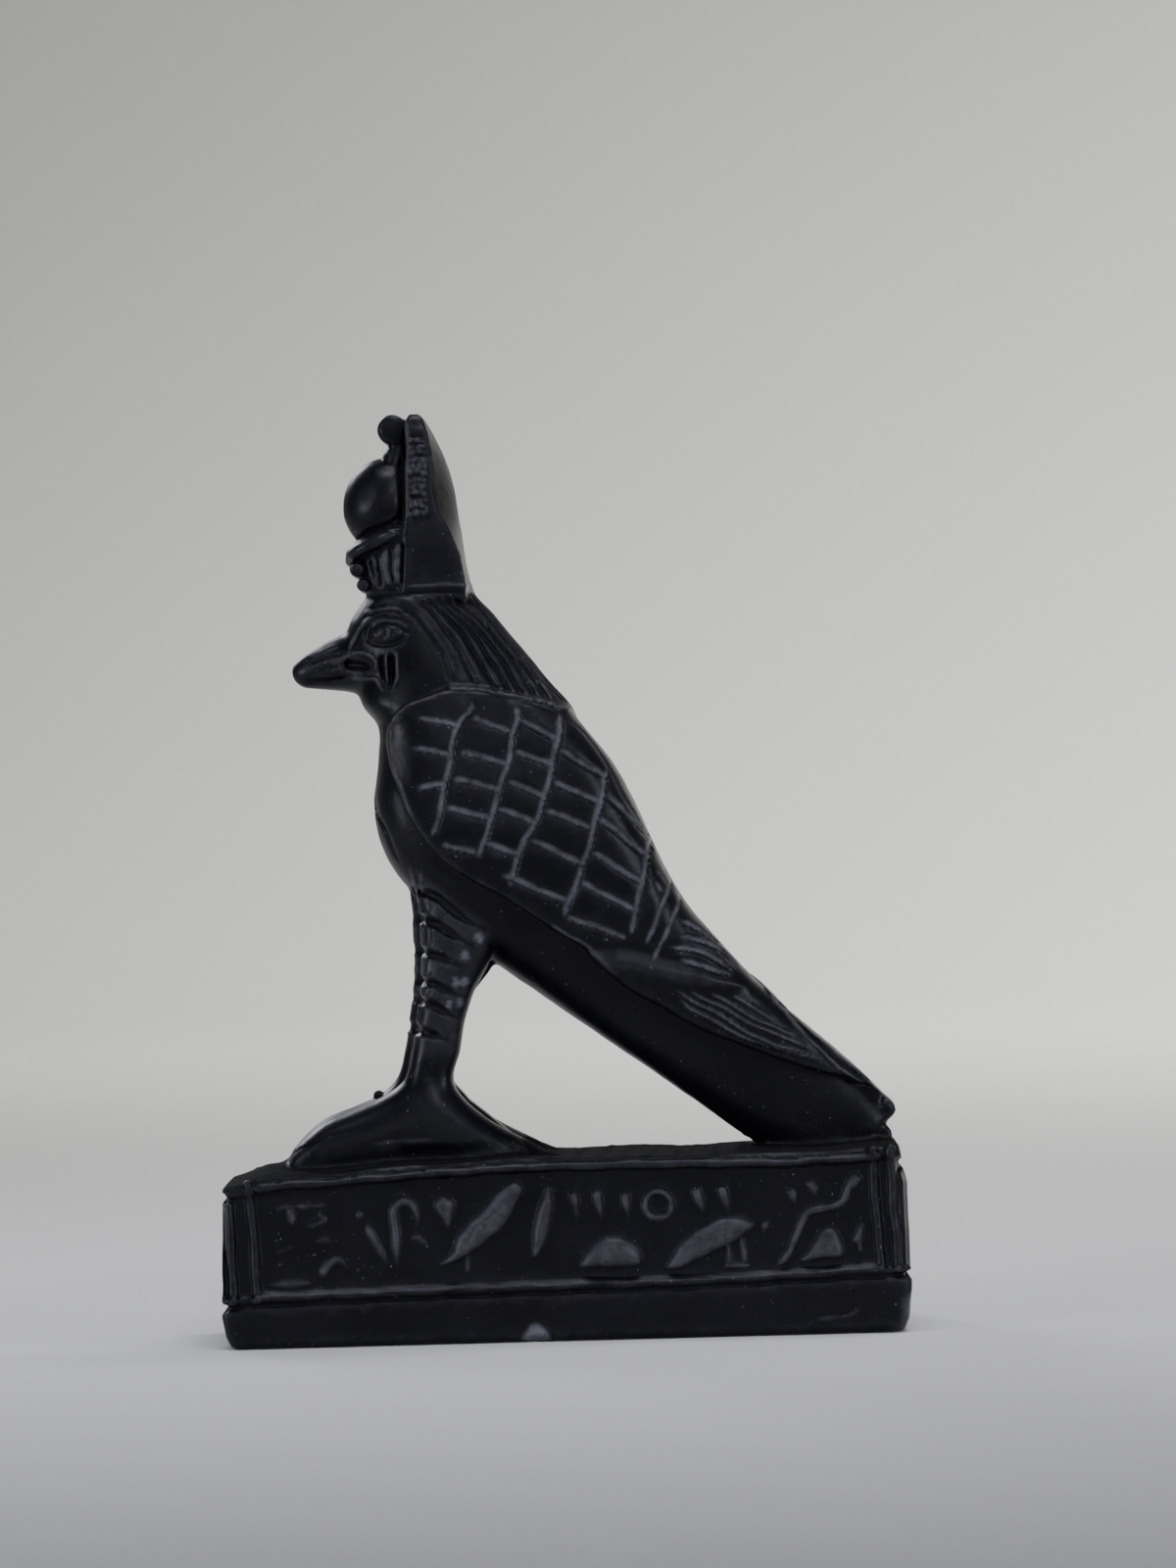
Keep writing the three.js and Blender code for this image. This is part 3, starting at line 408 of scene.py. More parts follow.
def oval(start, end, half_width, exponent, y=0.0, sides=96):
    """A squared oval between two points of the side view."""
    turn = np.arange(sides) * 2 * math.pi / sides
    share = (1 - np.sign(np.cos(turn)) * np.abs(np.cos(turn)) ** (2 / exponent)) / 2
    across = np.sign(np.sin(turn)) * np.abs(np.sin(turn)) ** (2 / exponent)
    (xa, za), (xb, zb) = start, end
    return np.stack([xa + (xb - xa) * share, y + half_width * across, za + (zb - za) * share], 1)


def skin_part(field, rings):
    """Signed distance to the closed skin over rings of equal count, in its window of the grid."""
    rings = [np.asarray(r, np.float32) for r in rings]
    count = len(rings[0])
    points = np.concatenate(rings + [rings[0].mean(0)[None], rings[-1].mean(0)[None]])
    i = np.arange(count)
    j = (i + 1) % count
    quads = np.concatenate([np.stack([r * count + i, r * count + j, (r + 1) * count + j,
                                      (r + 1) * count + i], 1) for r in range(len(rings) - 1)])
    last = (len(rings) - 1) * count
    tris = np.concatenate([np.stack([j, i, np.full(count, len(points) - 2)], 1),
                           np.stack([last + i, last + j, np.full(count, len(points) - 1)], 1)])
    grid = vdb.FloatGrid.createLevelSetFromPolygons(
        points, triangles=tris.astype(np.uint32), quads=quads.astype(np.uint32),
        transform=vdb.createLinearTransform(voxelSize=VOXEL), halfWidth=BAND / VOXEL)
    cuts, _ = field.window(points.min(0), points.max(0))
    part = np.empty([c.stop - c.start for c in cuts], np.float32)
    grid.copyToArray(part, ijk=tuple(f + c.start for f, c in zip(field.first, cuts)))
    return cuts, part


def line_distance(x, z, points, closed=False):
    """Distance of the side view's points from a line, and how far along it the nearest place is."""
    points = np.asarray(points, np.float32)
    ends = np.roll(points, -1, 0) if closed else points[1:]
    starts = points if closed else points[:-1]
    lengths = np.linalg.norm(ends - starts, axis=1)
    before = np.concatenate([[0], np.cumsum(lengths)[:-1]])
    best = np.full(np.broadcast(x, z).shape, 1e9, np.float32)
    place = np.zeros_like(best)
    for (xa, za), (xb, zb), run, so_far in zip(starts, ends, lengths, before):
        if run < 1e-6:
            continue
        t = np.clip(((x - xa) * (xb - xa) + (z - za) * (zb - za)) / run ** 2, 0, 1)
        gap = np.hypot(x - xa - t * (xb - xa), z - za - t * (zb - za))
        nearer = gap < best
        place = np.where(nearer, (so_far + t * run) / lengths.sum(), place)
        best = np.minimum(best, gap)
    return best, place


def outline_distance(x, z, points):
    """Signed distance to a closed outline of the side view, negative inside."""
    points = np.asarray(points, np.float32)
    gap, _ = line_distance(x, z, points, closed=True)
    within = np.zeros(gap.shape, bool)
    for (xa, za), (xb, zb) in zip(points, np.roll(points, -1, 0)):
        if za != zb:
            within ^= ((za > z) != (zb > z)) & (x < xa + (z - za) * (xb - xa) / (zb - za))
    return np.where(within, -gap, gap).astype(np.float32)


def build_body(field):
    rows = smooth_rows(BODY, BODY_STEPS)
    body = [oval(r[0:2], r[2:4], r[5], EXPONENT["body"]) for r in rows]
    field.join(*skin_part(field, body), FILLET["body"])
    wings = [oval(r[0:2], r[2:4], r[4], EXPONENT["wings"]) for r in rows]
    cuts, part = skin_part(field, wings)
    x, z = field.axes[0][cuts[0]][:, None], field.axes[2][cuts[2]][None, :]
    edge = outline_distance(x, z, smooth_rows(WING, OUTLINE_STEPS, closed=True))
    part = -soft_min(-part, -edge[:, None, :], OUTLINE_ROUNDING)
    field.join(cuts, part, FILLET["wings"])
    for row in TAIL_BARS:
        bar(field, *row)


def build_head(field):
    head = [oval((r[0], r[2]), (r[1], r[2]), r[3], EXPONENT["head"]) for r in smooth_rows(HEAD, STEPS)]
    field.join(*skin_part(field, head), FILLET["head"])
    beak = [oval((r[0], r[2]), (r[0], r[1]), r[3], EXPONENT["beak"]) for r in smooth_rows(BEAK, STEPS)]
    field.join(*skin_part(field, beak), FILLET["beak"])


def build_legs(field):
    for side, lead in ((-1, 0.0), (1, FAR_LEG_LEAD)):
        leg = [oval((r[1] - lead, r[0]), (r[2] - lead, r[0]), r[3], EXPONENT["leg"], side * LEG_SPREAD)
               for r in smooth_rows(LEG, STEPS)]
        field.join(*skin_part(field, leg), FILLET["leg"])
        foot = [oval((r[0], HEIGHT - SEAT_DEPTH), (r[0], r[1]), r[2], EXPONENT["foot"], side * FOOT_SPREAD)
                for r in smooth_rows(FOOT, STEPS)]
        field.join(*skin_part(field, foot), FILLET["foot"])
    ball(field, *SPUR)
    low, high = np.min(WEB, 0), np.max(WEB, 0)
    cuts, (x, y, z) = field.window((low[0], -LEG_WEB, low[1]), (high[0], LEG_WEB, high[1]))
    edge = outline_distance(x[:, :, 0], z[0], smooth_rows(WEB, OUTLINE_STEPS, closed=True))
    part = -soft_min(-edge[:, None, :] + 0 * y, LEG_WEB - np.abs(y) + 0 * x + 0 * z, OUTLINE_ROUNDING)
    field.join(cuts, part, FILLET["web"])


def plume_ring(row):
    """One level of the crown's flat-sided plumes, domed at the back."""
    z, front, edge, back, half = row
    across = np.linspace(-1, 1, 40)
    dome = np.stack([edge + (back - edge) * (1 - np.abs(across) ** PLUME_DOME_EXPONENT), half * across], 1)
    turn = np.linspace(0, math.pi / 2, 8)
    near = np.stack([front + PLUME_ROUNDING * (1 - np.sin(turn)),
                     half - PLUME_ROUNDING * (1 - np.cos(turn))], 1)
    far = np.stack([near[::-1, 0], -near[::-1, 1]], 1)
    section = np.concatenate([dome, near, far])
    return np.stack([section[:, 0], section[:, 1], np.full(len(section), z)], 1)


def ball(field, middle, halves, lean, fillet):
    """A ball with half sizes along x, y, z, leaning in side view."""
    reach = max(halves)
    cuts, (x, y, z) = field.window([m - reach for m in middle], [m + reach for m in middle])
    x, y, z = x - middle[0], y - middle[1], z - middle[2]
    along = x * math.cos(lean) + z * math.sin(lean)
    up = z * math.cos(lean) - x * math.sin(lean)
    near, slope = [np.sqrt(sum((p / h ** k) ** 2 for p, h in zip((along, y, up), halves))) for k in (1, 2)]
    part = near * (near - 1) / np.maximum(slope, 1e-4)
    field.join(cuts, part, fillet)


def bar(field, mid_x, mid_z, half_length, radius, fillet):
    """A round bar across the figure with rounded ends."""
    cuts, (x, y, z) = field.window((mid_x - radius, -half_length, mid_z - radius),
                                   (mid_x + radius, half_length, mid_z + radius))
    rounding = BAR_ROUNDING * radius
    out = np.hypot(x - mid_x, z - mid_z) - radius + rounding
    over = np.abs(y) - half_length + rounding
    part = np.hypot(np.maximum(out, 0), np.maximum(over, 0)) + np.minimum(np.maximum(out, over), 0) - rounding
    field.join(cuts, part, fillet)


def build_crown(field):
    field.join(*skin_part(field, [plume_ring(r) for r in smooth_rows(PLUMES, STEPS)]), FILLET["plumes"])
    base = [oval((r[1], r[0]), (CROWN_BASE_BACK, r[0]), r[2], EXPONENT["base"])
            for r in smooth_rows(CROWN_BASE, CROWN_STEPS)]
    field.join(*skin_part(field, base), FILLET["base"])
    ball(field, *DISC)
    horns = [oval(r[0:2], r[2:4], r[4], EXPONENT["horns"]) for r in smooth_rows(HORNS, CROWN_STEPS)]
    field.join(*skin_part(field, horns), FILLET["horns"])
    post = [oval((r[1], r[0]), (CURL_POST_BACK, r[0]), r[2], EXPONENT["post"])
            for r in smooth_rows(CURL_POST, CROWN_STEPS)]
    field.join(*skin_part(field, post), FILLET["post"])
    for row in CROWN_BARS:
        bar(field, *row)


def build_plinth(field):
    cuts, (x, y, z) = field.window((-LENGTH / 2, -WIDTH / 2, 0), (LENGTH / 2, WIDTH / 2, PLINTH_LIMIT))
    flat = x[:, 0, 0]
    top = np.interp(flat, *zip(*TOP_EDGE)) - 0.12 * np.sin(flat * 0.37 + 1)
    crown = np.interp(flat, *zip(*TOP_CROWN))
    top = top[:, None, None] + crown[:, None, None] * (1 - (2 * y / WIDTH) ** 2)
    upright = z[0, 0]
    heights, fronts, backs = zip(*ENDS)
    ends = np.maximum(np.interp(upright, heights, fronts) - x, x - np.interp(upright, heights, backs))
    sag = SIDE_SAG * np.cos(flat * math.pi / LENGTH)[:, None, None]
    foot = FOOT_DRAFT * ramp((1.4 - z) / 1.6)
    sides = np.abs(y) - WIDTH / 2 + sag + foot
    block = -soft_min(-ends, -sides, END_ROUNDING)
    block = -soft_min(-block, top - z, EDGE_ROUNDING)
    block = -soft_min(-block, z + 0 * x + 0 * y, FOOT_ROUNDING)
    field.join(cuts, block, FILLET["plinth"])
    # The grooves that run round the ends
    line = np.interp(flat, *zip(*GROOVE))[:, None, None]
    for over, depth in END_GROOVES:
        inner = -soft_min(-(ends + depth), -(np.abs(y) - WIDTH / 2 + 0.3 * depth), 0.4)
        slot = -soft_min(-(np.abs(z - (line + over)) - GROOVE_HALF_WIDTH), inner, 0.4)
        slot = -soft_min(-slot, np.abs(x) - LENGTH / 2 + GROOVE_REACH, 0.6)
        field.cut(cuts, slot, 0.35)


class Side:
    """Raised and cut relief over the side view, for one side of the figure."""

    def __init__(self, field, seed):
        self.field = field
        self.random = np.random.default_rng(seed)
        x, z = field.axes[0][:, None], field.axes[2][None, :]
        # A slight waver, so that no line is ruler straight
        self.x = x + 0.07 * np.sin(0.5 * x + 0.9 * z + seed) + 0.03 * np.sin(1.3 * x - 0.8 * z)
        self.z = z + 0.07 * np.sin(0.7 * x - 0.6 * z + seed) + 0.03 * np.sin(1.1 * x + 1.5 * z)
        self.raised = np.zeros(self.x.shape, np.float32)
        self.cut = np.zeros_like(self.raised)
        self.dust = np.zeros_like(self.raised)
        # How pale what is raised from here on becomes, partly as dust and partly as painted sheen
        self.pale = 0.0

    def window(self, points, reach):
        """Slices of the maps round the points, and the coordinates in them."""
        low, high = np.min(points, 0) - reach, np.max(points, 0) + reach
        spans = [np.searchsorted(self.field.axes[k], [a, b]) for k, a, b in zip((0, 2), low, high)]
        cuts = tuple(slice(*span) for span in spans)
        return cuts, self.x[cuts], self.z[cuts]

    def line(self, points, width, height, taper=(0.0, 0.0), dust=0.0, power=1.5, vary=0.0, add=False):
        """A cord where height is above 0, a groove below; taper is the share of its length at each end."""
        width = width * (1 + vary * self.random.uniform(-1, 1))
        height = height * (1 + vary * self.random.uniform(-1, 1))
        if len(points) > 2:
            points = smooth_rows(points, LINE_STEPS)
        cuts, x, z = self.window(points, width)
        gap, place = line_distance(x, z, points)
        swell = np.ones_like(place)
        if taper[0]:
            swell *= ramp(place / taper[0] + BLUNTNESS)
        if taper[1]:
            swell *= ramp((1 - place) / taper[1] + BLUNTNESS)
        if vary:
            turns, phase = self.random.uniform(1.5, 4.0), self.random.uniform(0, 6)
            swell *= 1 + 1.5 * vary * np.sin(place * 2 * math.pi * turns + phase)
        near = np.clip(1 - gap / (0.5 * width * np.maximum(swell, 0.3)), 0, 1)
        if power == SOFT:
            value = abs(height) * swell * ramp(near)
        elif height > 0:
            value = height * swell * (1 - (1 - near) ** 2) ** (0.5 * power)
        else:
            value = -height * swell * near ** power
        self.put(cuts, value, height > 0, add)
        self.colour(cuts, dust * np.minimum(swell, 1.2) * ramp(near * 2.2), near > 0)

    def colour(self, cuts, dust, where):
        """Lays pale dust or painted highlight, or painted shade where it is below 0."""
        old = self.dust[cuts]
        self.dust[cuts] = np.where(where & (dust < 0), dust, np.maximum(old, dust))

    def put(self, cuts, value, up, add=False):
        """Lays a height into a map, over what is lower there, or adds to it."""
        layer = self.raised if up else self.cut
        layer[cuts] = layer[cuts] + value if add else np.maximum(layer[cuts], value)
        if up and self.pale:
            self.colour(cuts, self.pale * np.clip(value / 0.5, 0, 1), value > 0)

    def area(self, outline, height, edge, dust=0.0):
        """A patch raised, or sunk below 0, with a soft edge."""
        points = smooth_rows(outline, OUTLINE_STEPS, closed=True)
        cuts, x, z = self.window(points, edge)
        share = ramp(0.5 - outline_distance(x, z, points) / edge)
        self.put(cuts, abs(height) * share, height > 0)
        self.colour(cuts, dust * share, share > 0)

    def dome(self, outline, height, rounding=1.3):
        """A raised patch with rounded flanks, in a fine dark crevice."""
        points = smooth_rows(outline, 3, closed=True)
        cuts, x, z = self.window(points, 1.0)
        inside = -outline_distance(x, z, points)
        near = np.clip(inside / rounding, 0, 1)
        self.put(cuts, height * (1 - (1 - near) ** 2) ** 0.6, True)
        ring = np.clip(1 - np.abs(inside + 0.2) / 0.4, 0, 1)
        self.put(cuts, CREVICE_DEPTH * ring, False)

    def leaf(self, start, end, width, height):
        """A raised leaf, rounded over and pointed at both ends."""
        cuts, x, z = self.window([start, end], width)
        gap, place = line_distance(x, z, [start, end])
        half = 0.5 * width * np.maximum(np.sin(math.pi * np.clip(place, 0, 1)), 0.02) ** 0.75
        near = np.clip(1 - gap / half, 0, 1)
        self.put(cuts, height * (near * (2 - near)) ** 0.75, True)

    def mound(self, middle, half_width, rise, height):
        """A raised half round with a flat foot."""
        cuts, x, z = self.window([middle], max(half_width, rise) + 0.5)
        dx, dz = x - middle[0], z - middle[1]
        shape = np.clip(1 - np.hypot(dx / half_width, dz / rise), 0, 1)
        self.put(cuts, height * (shape * (2 - shape)) ** 0.55 * ramp(dz / 0.5 + 0.5), True)

    def ring(self, middle, radius, width, height):
        """A round cord, or a round groove where height is below 0."""
        cuts, x, z = self.window([middle], radius + width)
        gap = np.abs(np.hypot(x - middle[0], z - middle[1]) - radius)
        near = np.clip(1 - gap / (0.5 * width), 0, 1)
        self.put(cuts, abs(height) * (1 - (1 - near) ** 2) ** 0.6, height > 0)

    def press(self, low_z, high_z, weight):
        """Moves the surface by the maps between two heights; weight says how much at each y."""
        cut_z = slice(*np.searchsorted(self.field.axes[2], [low_z, high_z]))
        share = weight(self.field.axes[1]).astype(np.float32)
        span = slice(*(np.flatnonzero(share > 0)[[0, -1]] + [0, 1]))
        move = (self.cut - self.raised)[:, cut_z]
        self.field.value[:, span, cut_z] += move[:, None, :] * share[None, span, None]


def shifted(line, dx, dz):
    return [(x + dx, z + dz) for x, z in line]


def carve_wing(side):
    """Each stroke is a soft pale bevel of dust with a fine groove under it, painted dark as painted shadow.
    """
    draw = side.line
    for line in COURSES:
        draw(line, 0.85, -0.4, (0.06, 0.08), dust=0.7, vary=0.07)
        draw(shifted(line, 0.42, -0.1), 0.35, -0.5, (0.1, 0.1), dust=-0.5)
    for k, line in enumerate(STROKES):
        ragged, dust_and_painted_light_amount = (0.35, 0.9) if k < SHOULDER_STROKES else (0.12, 0.7)
        draw(line, 0.95, -0.4, (ragged, 0.1), dust=dust_and_painted_light_amount, vary=0.07)
        draw(shifted(line, -0.1, -0.42), 0.35, -0.5, (ragged, 0.15), dust=-0.5)
    for line in BANDS:
        draw(line, 0.55, -0.3, (0.05, 0.15), dust=0.8, vary=0.1)
    for line in HATCHES:
        draw(line, 0.5, -0.2, (0.2, 0.2), dust=0.6, vary=0.2)
    draw(MARGIN, 0.6, -0.25, (0.1, 0.05), dust=0.3)
    for line in QUILLS_ABOVE:
        draw(line, 0.7, -0.42, (0.2, 0.3), dust=0.9)
        draw(shifted(line, -0.1, -0.42), 0.4, -0.55, (0.3, 0.3), dust=-0.6)
        draw(shifted(line, -0.1, -0.9), 0.6, 0.25, (0.3, 0.3))
    for line in QUILLS_BELOW:
        draw(line, 0.36, 0.3, (0.12, 0.2), dust=0.5)
        draw(shifted(line, -0.15, -0.38), 0.4, -0.25, (0.2, 0.25), dust=-0.4)
    # The soft roll under the wing is painted slightly pale along it as painted highlight
    draw(WING_ROLL, 5.0, 1.15, (0.25, 0.5), power=SOFT, dust=0.07)
    for line in TAIL_LINES:
        draw(line, 0.4, 0.3, (0.15, 0.15), dust=0.4)
    draw(shifted(TAIL_LINES[0], 0.4, 0.4), 0.45, -0.3, (0.2, 0.2), dust=-0.5)
    draw(shifted(WING[:WING_FRONT_POINTS], 0.35, 0.1), 0.5, 0.16, (0.05, 0.1), dust=0.3)
    draw(BREAST_FOLD, 0.9, -0.35, (0.4, 0.3))


def carve_head(side):
    draw = side.line
    # The stripes are painted dark as painted shade, and the ridges between them pale as painted highlight
    for k, line in enumerate(WIG_STRIPES):
        width, depth = STRIPE_SIZES[min(k, len(STRIPE_SIZES) - 1)]
        draw(line, width, -depth, (0.08, 0.0), power=1.6, dust=-0.3)
        draw(shifted(line, 0.7, 0.55), 0.5, 0.08, (0.3, 0.1), dust=0.13)
    draw(WIG_FRONT, 1.3, 0.2, (0.2, 0.3))
    # The brow arcs are painted pale as painted highlight, and the groove under each dark as painted shade
    for line, height in zip(BROWS, (0.42, 0.3, 0.25)):
        draw(line, 0.6, height, (0.06, 0.2), dust=0.2)
        draw(shifted(line, 0.3, -0.5), 0.5, -0.25, (0.2, 0.1), dust=-0.4)
    # The eye's raised ball in its sunk rim, and the pupil
    cuts, x, z = side.window([EYE], 2 * EYE_HALF[0])
    reach = np.hypot((x - EYE[0]) / EYE_HALF[0], (z - EYE[1]) / EYE_HALF[1])
    side.put(cuts, 0.35 * ramp(1 - np.abs(reach - 1.3) / 0.35), False)
    side.put(cuts, 0.4 * ramp((1.05 - reach) / 0.35), True)
    side.ring(PUPIL, PUPIL_RADIUS, 0.35, -0.16)
    # Slots, gape and mouth are painted dark as painted shade; the rims and lip beside them pale as painted
    # highlight
    for line, width in zip(TEAR_SLOTS, (0.75, 1.05)):
        draw(line, width, -0.75, (0.1, 0.25), power=0.9, dust=-1.0)
    draw(TEAR_RIM, 0.38, 0.55, (0.1, 0.2), dust=0.45)
    draw(TEAR_MIDDLE, 0.38, 0.6, (0.2, 0.05), dust=0.45)
    draw(GAPE, 1.7, -1.0, (0.15, 0.3), power=0.8, dust=-1.0)
    draw(GAPE_RIM, 0.5, 0.4, (0.15, 0.2), dust=0.35)
    draw(MOUTH, 0.8, -0.7, (0.2, 0.1), power=1.0, dust=-0.9)
    draw(LIP, 0.5, 0.35, (0.1, 0.3), dust=0.4)
    # The beak's ridge is painted faintly pale as painted highlight, and its grooves dark as painted shade
    draw(BEAK_RIDGE, 0.7, 0.25, (0.3, 0.3), dust=0.1)
    for line in BEAK_GROOVES:
        draw(line, 0.8, -0.3, (0.3, 0.3), dust=-0.3)
    # The beaded hem
    cuts, x, z = side.window(HEM, 0.8)
    gap, place = line_distance(x, z, smooth_rows(HEM, LINE_STEPS))
    stitch = 0.6 + 0.4 * np.sin(place * 2 * math.pi * HEM_BEADS) * np.sin(place * 9 + 1)
    near = np.clip(1 - gap / 0.42, 0, 1)
    side.put(cuts, (0.2 + 0.16 * stitch) * (1 - (1 - near) ** 2) ** 0.7, True)
    side.colour(cuts, 0.8 * stitch * near, near > 0)


def carve_crown(side):
    draw = side.line
    draw(HORN_BAND, 1.9, 0.55, (0.1, 0.45), power=1.0)
    # The grooves round the horn band are painted dark as painted shade
    draw(HORN_OVER, 0.9, -0.7, (0.1, 0.0), dust=-0.8)
    draw(HORN_UNDER, 0.6, -0.45, (0.1, 0.3), dust=-0.7)
    # The ridges are painted pale as painted highlight, and the grooves beside them dark as painted shade
    for line, width in zip(CROWN_RIDGES, (0.5, 0.5, 0.85, 0.85)):
        draw(shifted(line, 0.55, 0.0), 0.7, -0.5, (0.08, 0.08), dust=-0.7)
        draw(line, width, 0.35, (0.1, 0.1), dust=0.3, vary=0.1)
    # The plumes' ribs, each with its groove; the ribs are painted pale as painted highlight and the grooves
    # dark as painted shade
    for k in range(RIB_COUNT):
        z = RIB_LOW + RIB_PITCH * k
        sag = 0.25 + 0.2 * math.sin(k * 2.3)
        tilt = 0.15 * math.sin(k * 3.7 + 1)
        rib = [(-19.3, z - 0.1 - tilt), (-18.1, z + sag), (-16.6, z - 0.05 + tilt)]
        draw(rib, 0.8, 0.3, (0.1, 0.15), vary=0.3, dust=0.25)
        groove = [(-19.4, z + 0.4), (-18.0, z + 0.46 + sag), (-16.7, z + 0.42)]
        draw(groove, 0.5, -0.25, (0.08, 0.15), vary=0.3, dust=-0.4)
    # The plume's edge and the crown's rim are painted pale as painted highlight; the grooves are painted dark
    # as painted shade
    draw(PLUME_EDGE, 0.4, 0.25, (0.05, 0.1), dust=0.3)
    draw(DISC_SHADE, 1.1, -0.8, (0.25, 0.0), power=0.8, dust=-0.9)
    draw(PLUME_SHADE, 0.5, -0.4, dust=-0.6)
    draw(CROWN_RIM, 0.5, 0.25, (0.0, 0.2), power=1.0, dust=0.3)
    draw(CROWN_FOOT, 0.6, -0.45, (0.1, 0.1), dust=-0.6)


def carve_leg(side, lead):
    """The near leg, or with a lead the far one, whose bands run on a little further."""
    draw = side.line
    # The fold under the wing is sunk a little and painted dark as painted shadow
    side.area(shifted(FOLD, -lead, 0), -0.25, 2.6, dust=-0.35)
    # The leg between its bands is painted pale as painted sheen
    side.area(shifted(LEG_SHEEN, -lead, 0), 0.0, 1.5, dust=0.11)
    # The bands are painted near black as painted shade
    for line in LEG_BANDS[1 if lead else 0:]:
        line = shifted(line, -lead, 0)
        if lead:
            line = [(line[0][0] - 2.0, line[0][1] + 0.6), *line]
        draw(line, 1.6, -0.2 if lead else -0.6, (0.0, 0.6), dust=-1.0, power=0.45)
        draw(shifted(line, 0, -0.85), 0.5, 0.12, (0.1, 0.7))
    # The shin line and the bevel's parts are painted pale as painted highlights
    draw(shifted(SHIN, -lead, 0), 0.5, 0.25, (0.1, 0.2), dust=0.3)
    heights, places = zip(*[(-z, x) for x, z in BEVEL])
    for span in BEVEL_PARTS:
        ends = [(float(np.interp(-z, heights, places)) - lead, z) for z in span]
        draw(ends, 0.5, 0.22, (0.2, 0.2), dust=0.4)
    # Pale patches painted as painted highlights
    for line in PAINTED_LEG_HIGHLIGHTS:
        draw(shifted(line, -lead, 0), 1.2, 0.15, (0.3, 0.3), dust=0.8, vary=0.25)
    draw(FOOT_CREASE, 0.4, -0.12, (0.3, 0.3), dust=0.25)
    draw(TOE_CREASE, 0.8, -0.18, (0.3, 0.4))


def carve_plinth(side, near):
    """The panel, its frame and its rows of marks; the far side has fewer."""
    draw, flat, everywhere = side.line, side.field.axes[0], (slice(None), slice(None))
    top = np.interp(flat, *zip(*TOP_EDGE))[:, None]
    low = np.interp(flat, *zip(*LOW_BEAD))[:, None]
    inside_x = np.minimum(flat + 47.6, 47.8 - flat)[:, None]
    sunk = np.minimum(np.minimum(side.z - low, top - 1.6 - side.z), inside_x)
    side.put(everywhere, PANEL_DEPTH * ramp(sunk / 0.6 + 0.5), False)
    side.put(everywhere, 0.12 * ramp((side.z - low) / 0.5) * ramp((top - side.z + 0.5)), False)
    draw(TOP_BEAD, 1.25, PANEL_DEPTH + 0.12, power=0.9)
    draw(LOW_BEAD, 1.25, PANEL_DEPTH - 0.05, power=0.9)
    draw(GROOVE, 0.75, -0.5, power=1.0)
    for line in BARS:
        draw(line, 1.35, PANEL_DEPTH + 0.14, (0.0, 0.03), power=0.9)
    # Fine grooves along the beads, painted dark as painted shadow
    draw(shifted(TOP_BEAD, 0, -1.0), 0.5, -0.15, dust=-0.6)
    draw(shifted(LOW_BEAD, 0, -0.95), 0.5, -0.2, dust=-0.6)
    draw(shifted(TOP_BEAD, 0, 0.9), 0.4, -0.2, dust=-0.5)
    if near:
        side.area(CHIP, -0.35, 0.7, dust=0.9)
        draw(CRACK, 0.4, -0.15, (0.2, 0.2), dust=0.2, vary=0.3)
        side.area(WORN_CORNER, -0.3, 1.6, dust=0.5)
    # Raised marks are painted paler, partly as dust and partly as painted sheen
    side.pale = MARK_DUST_AND_SHEEN
    marks_near(side) if near else marks_far(side)


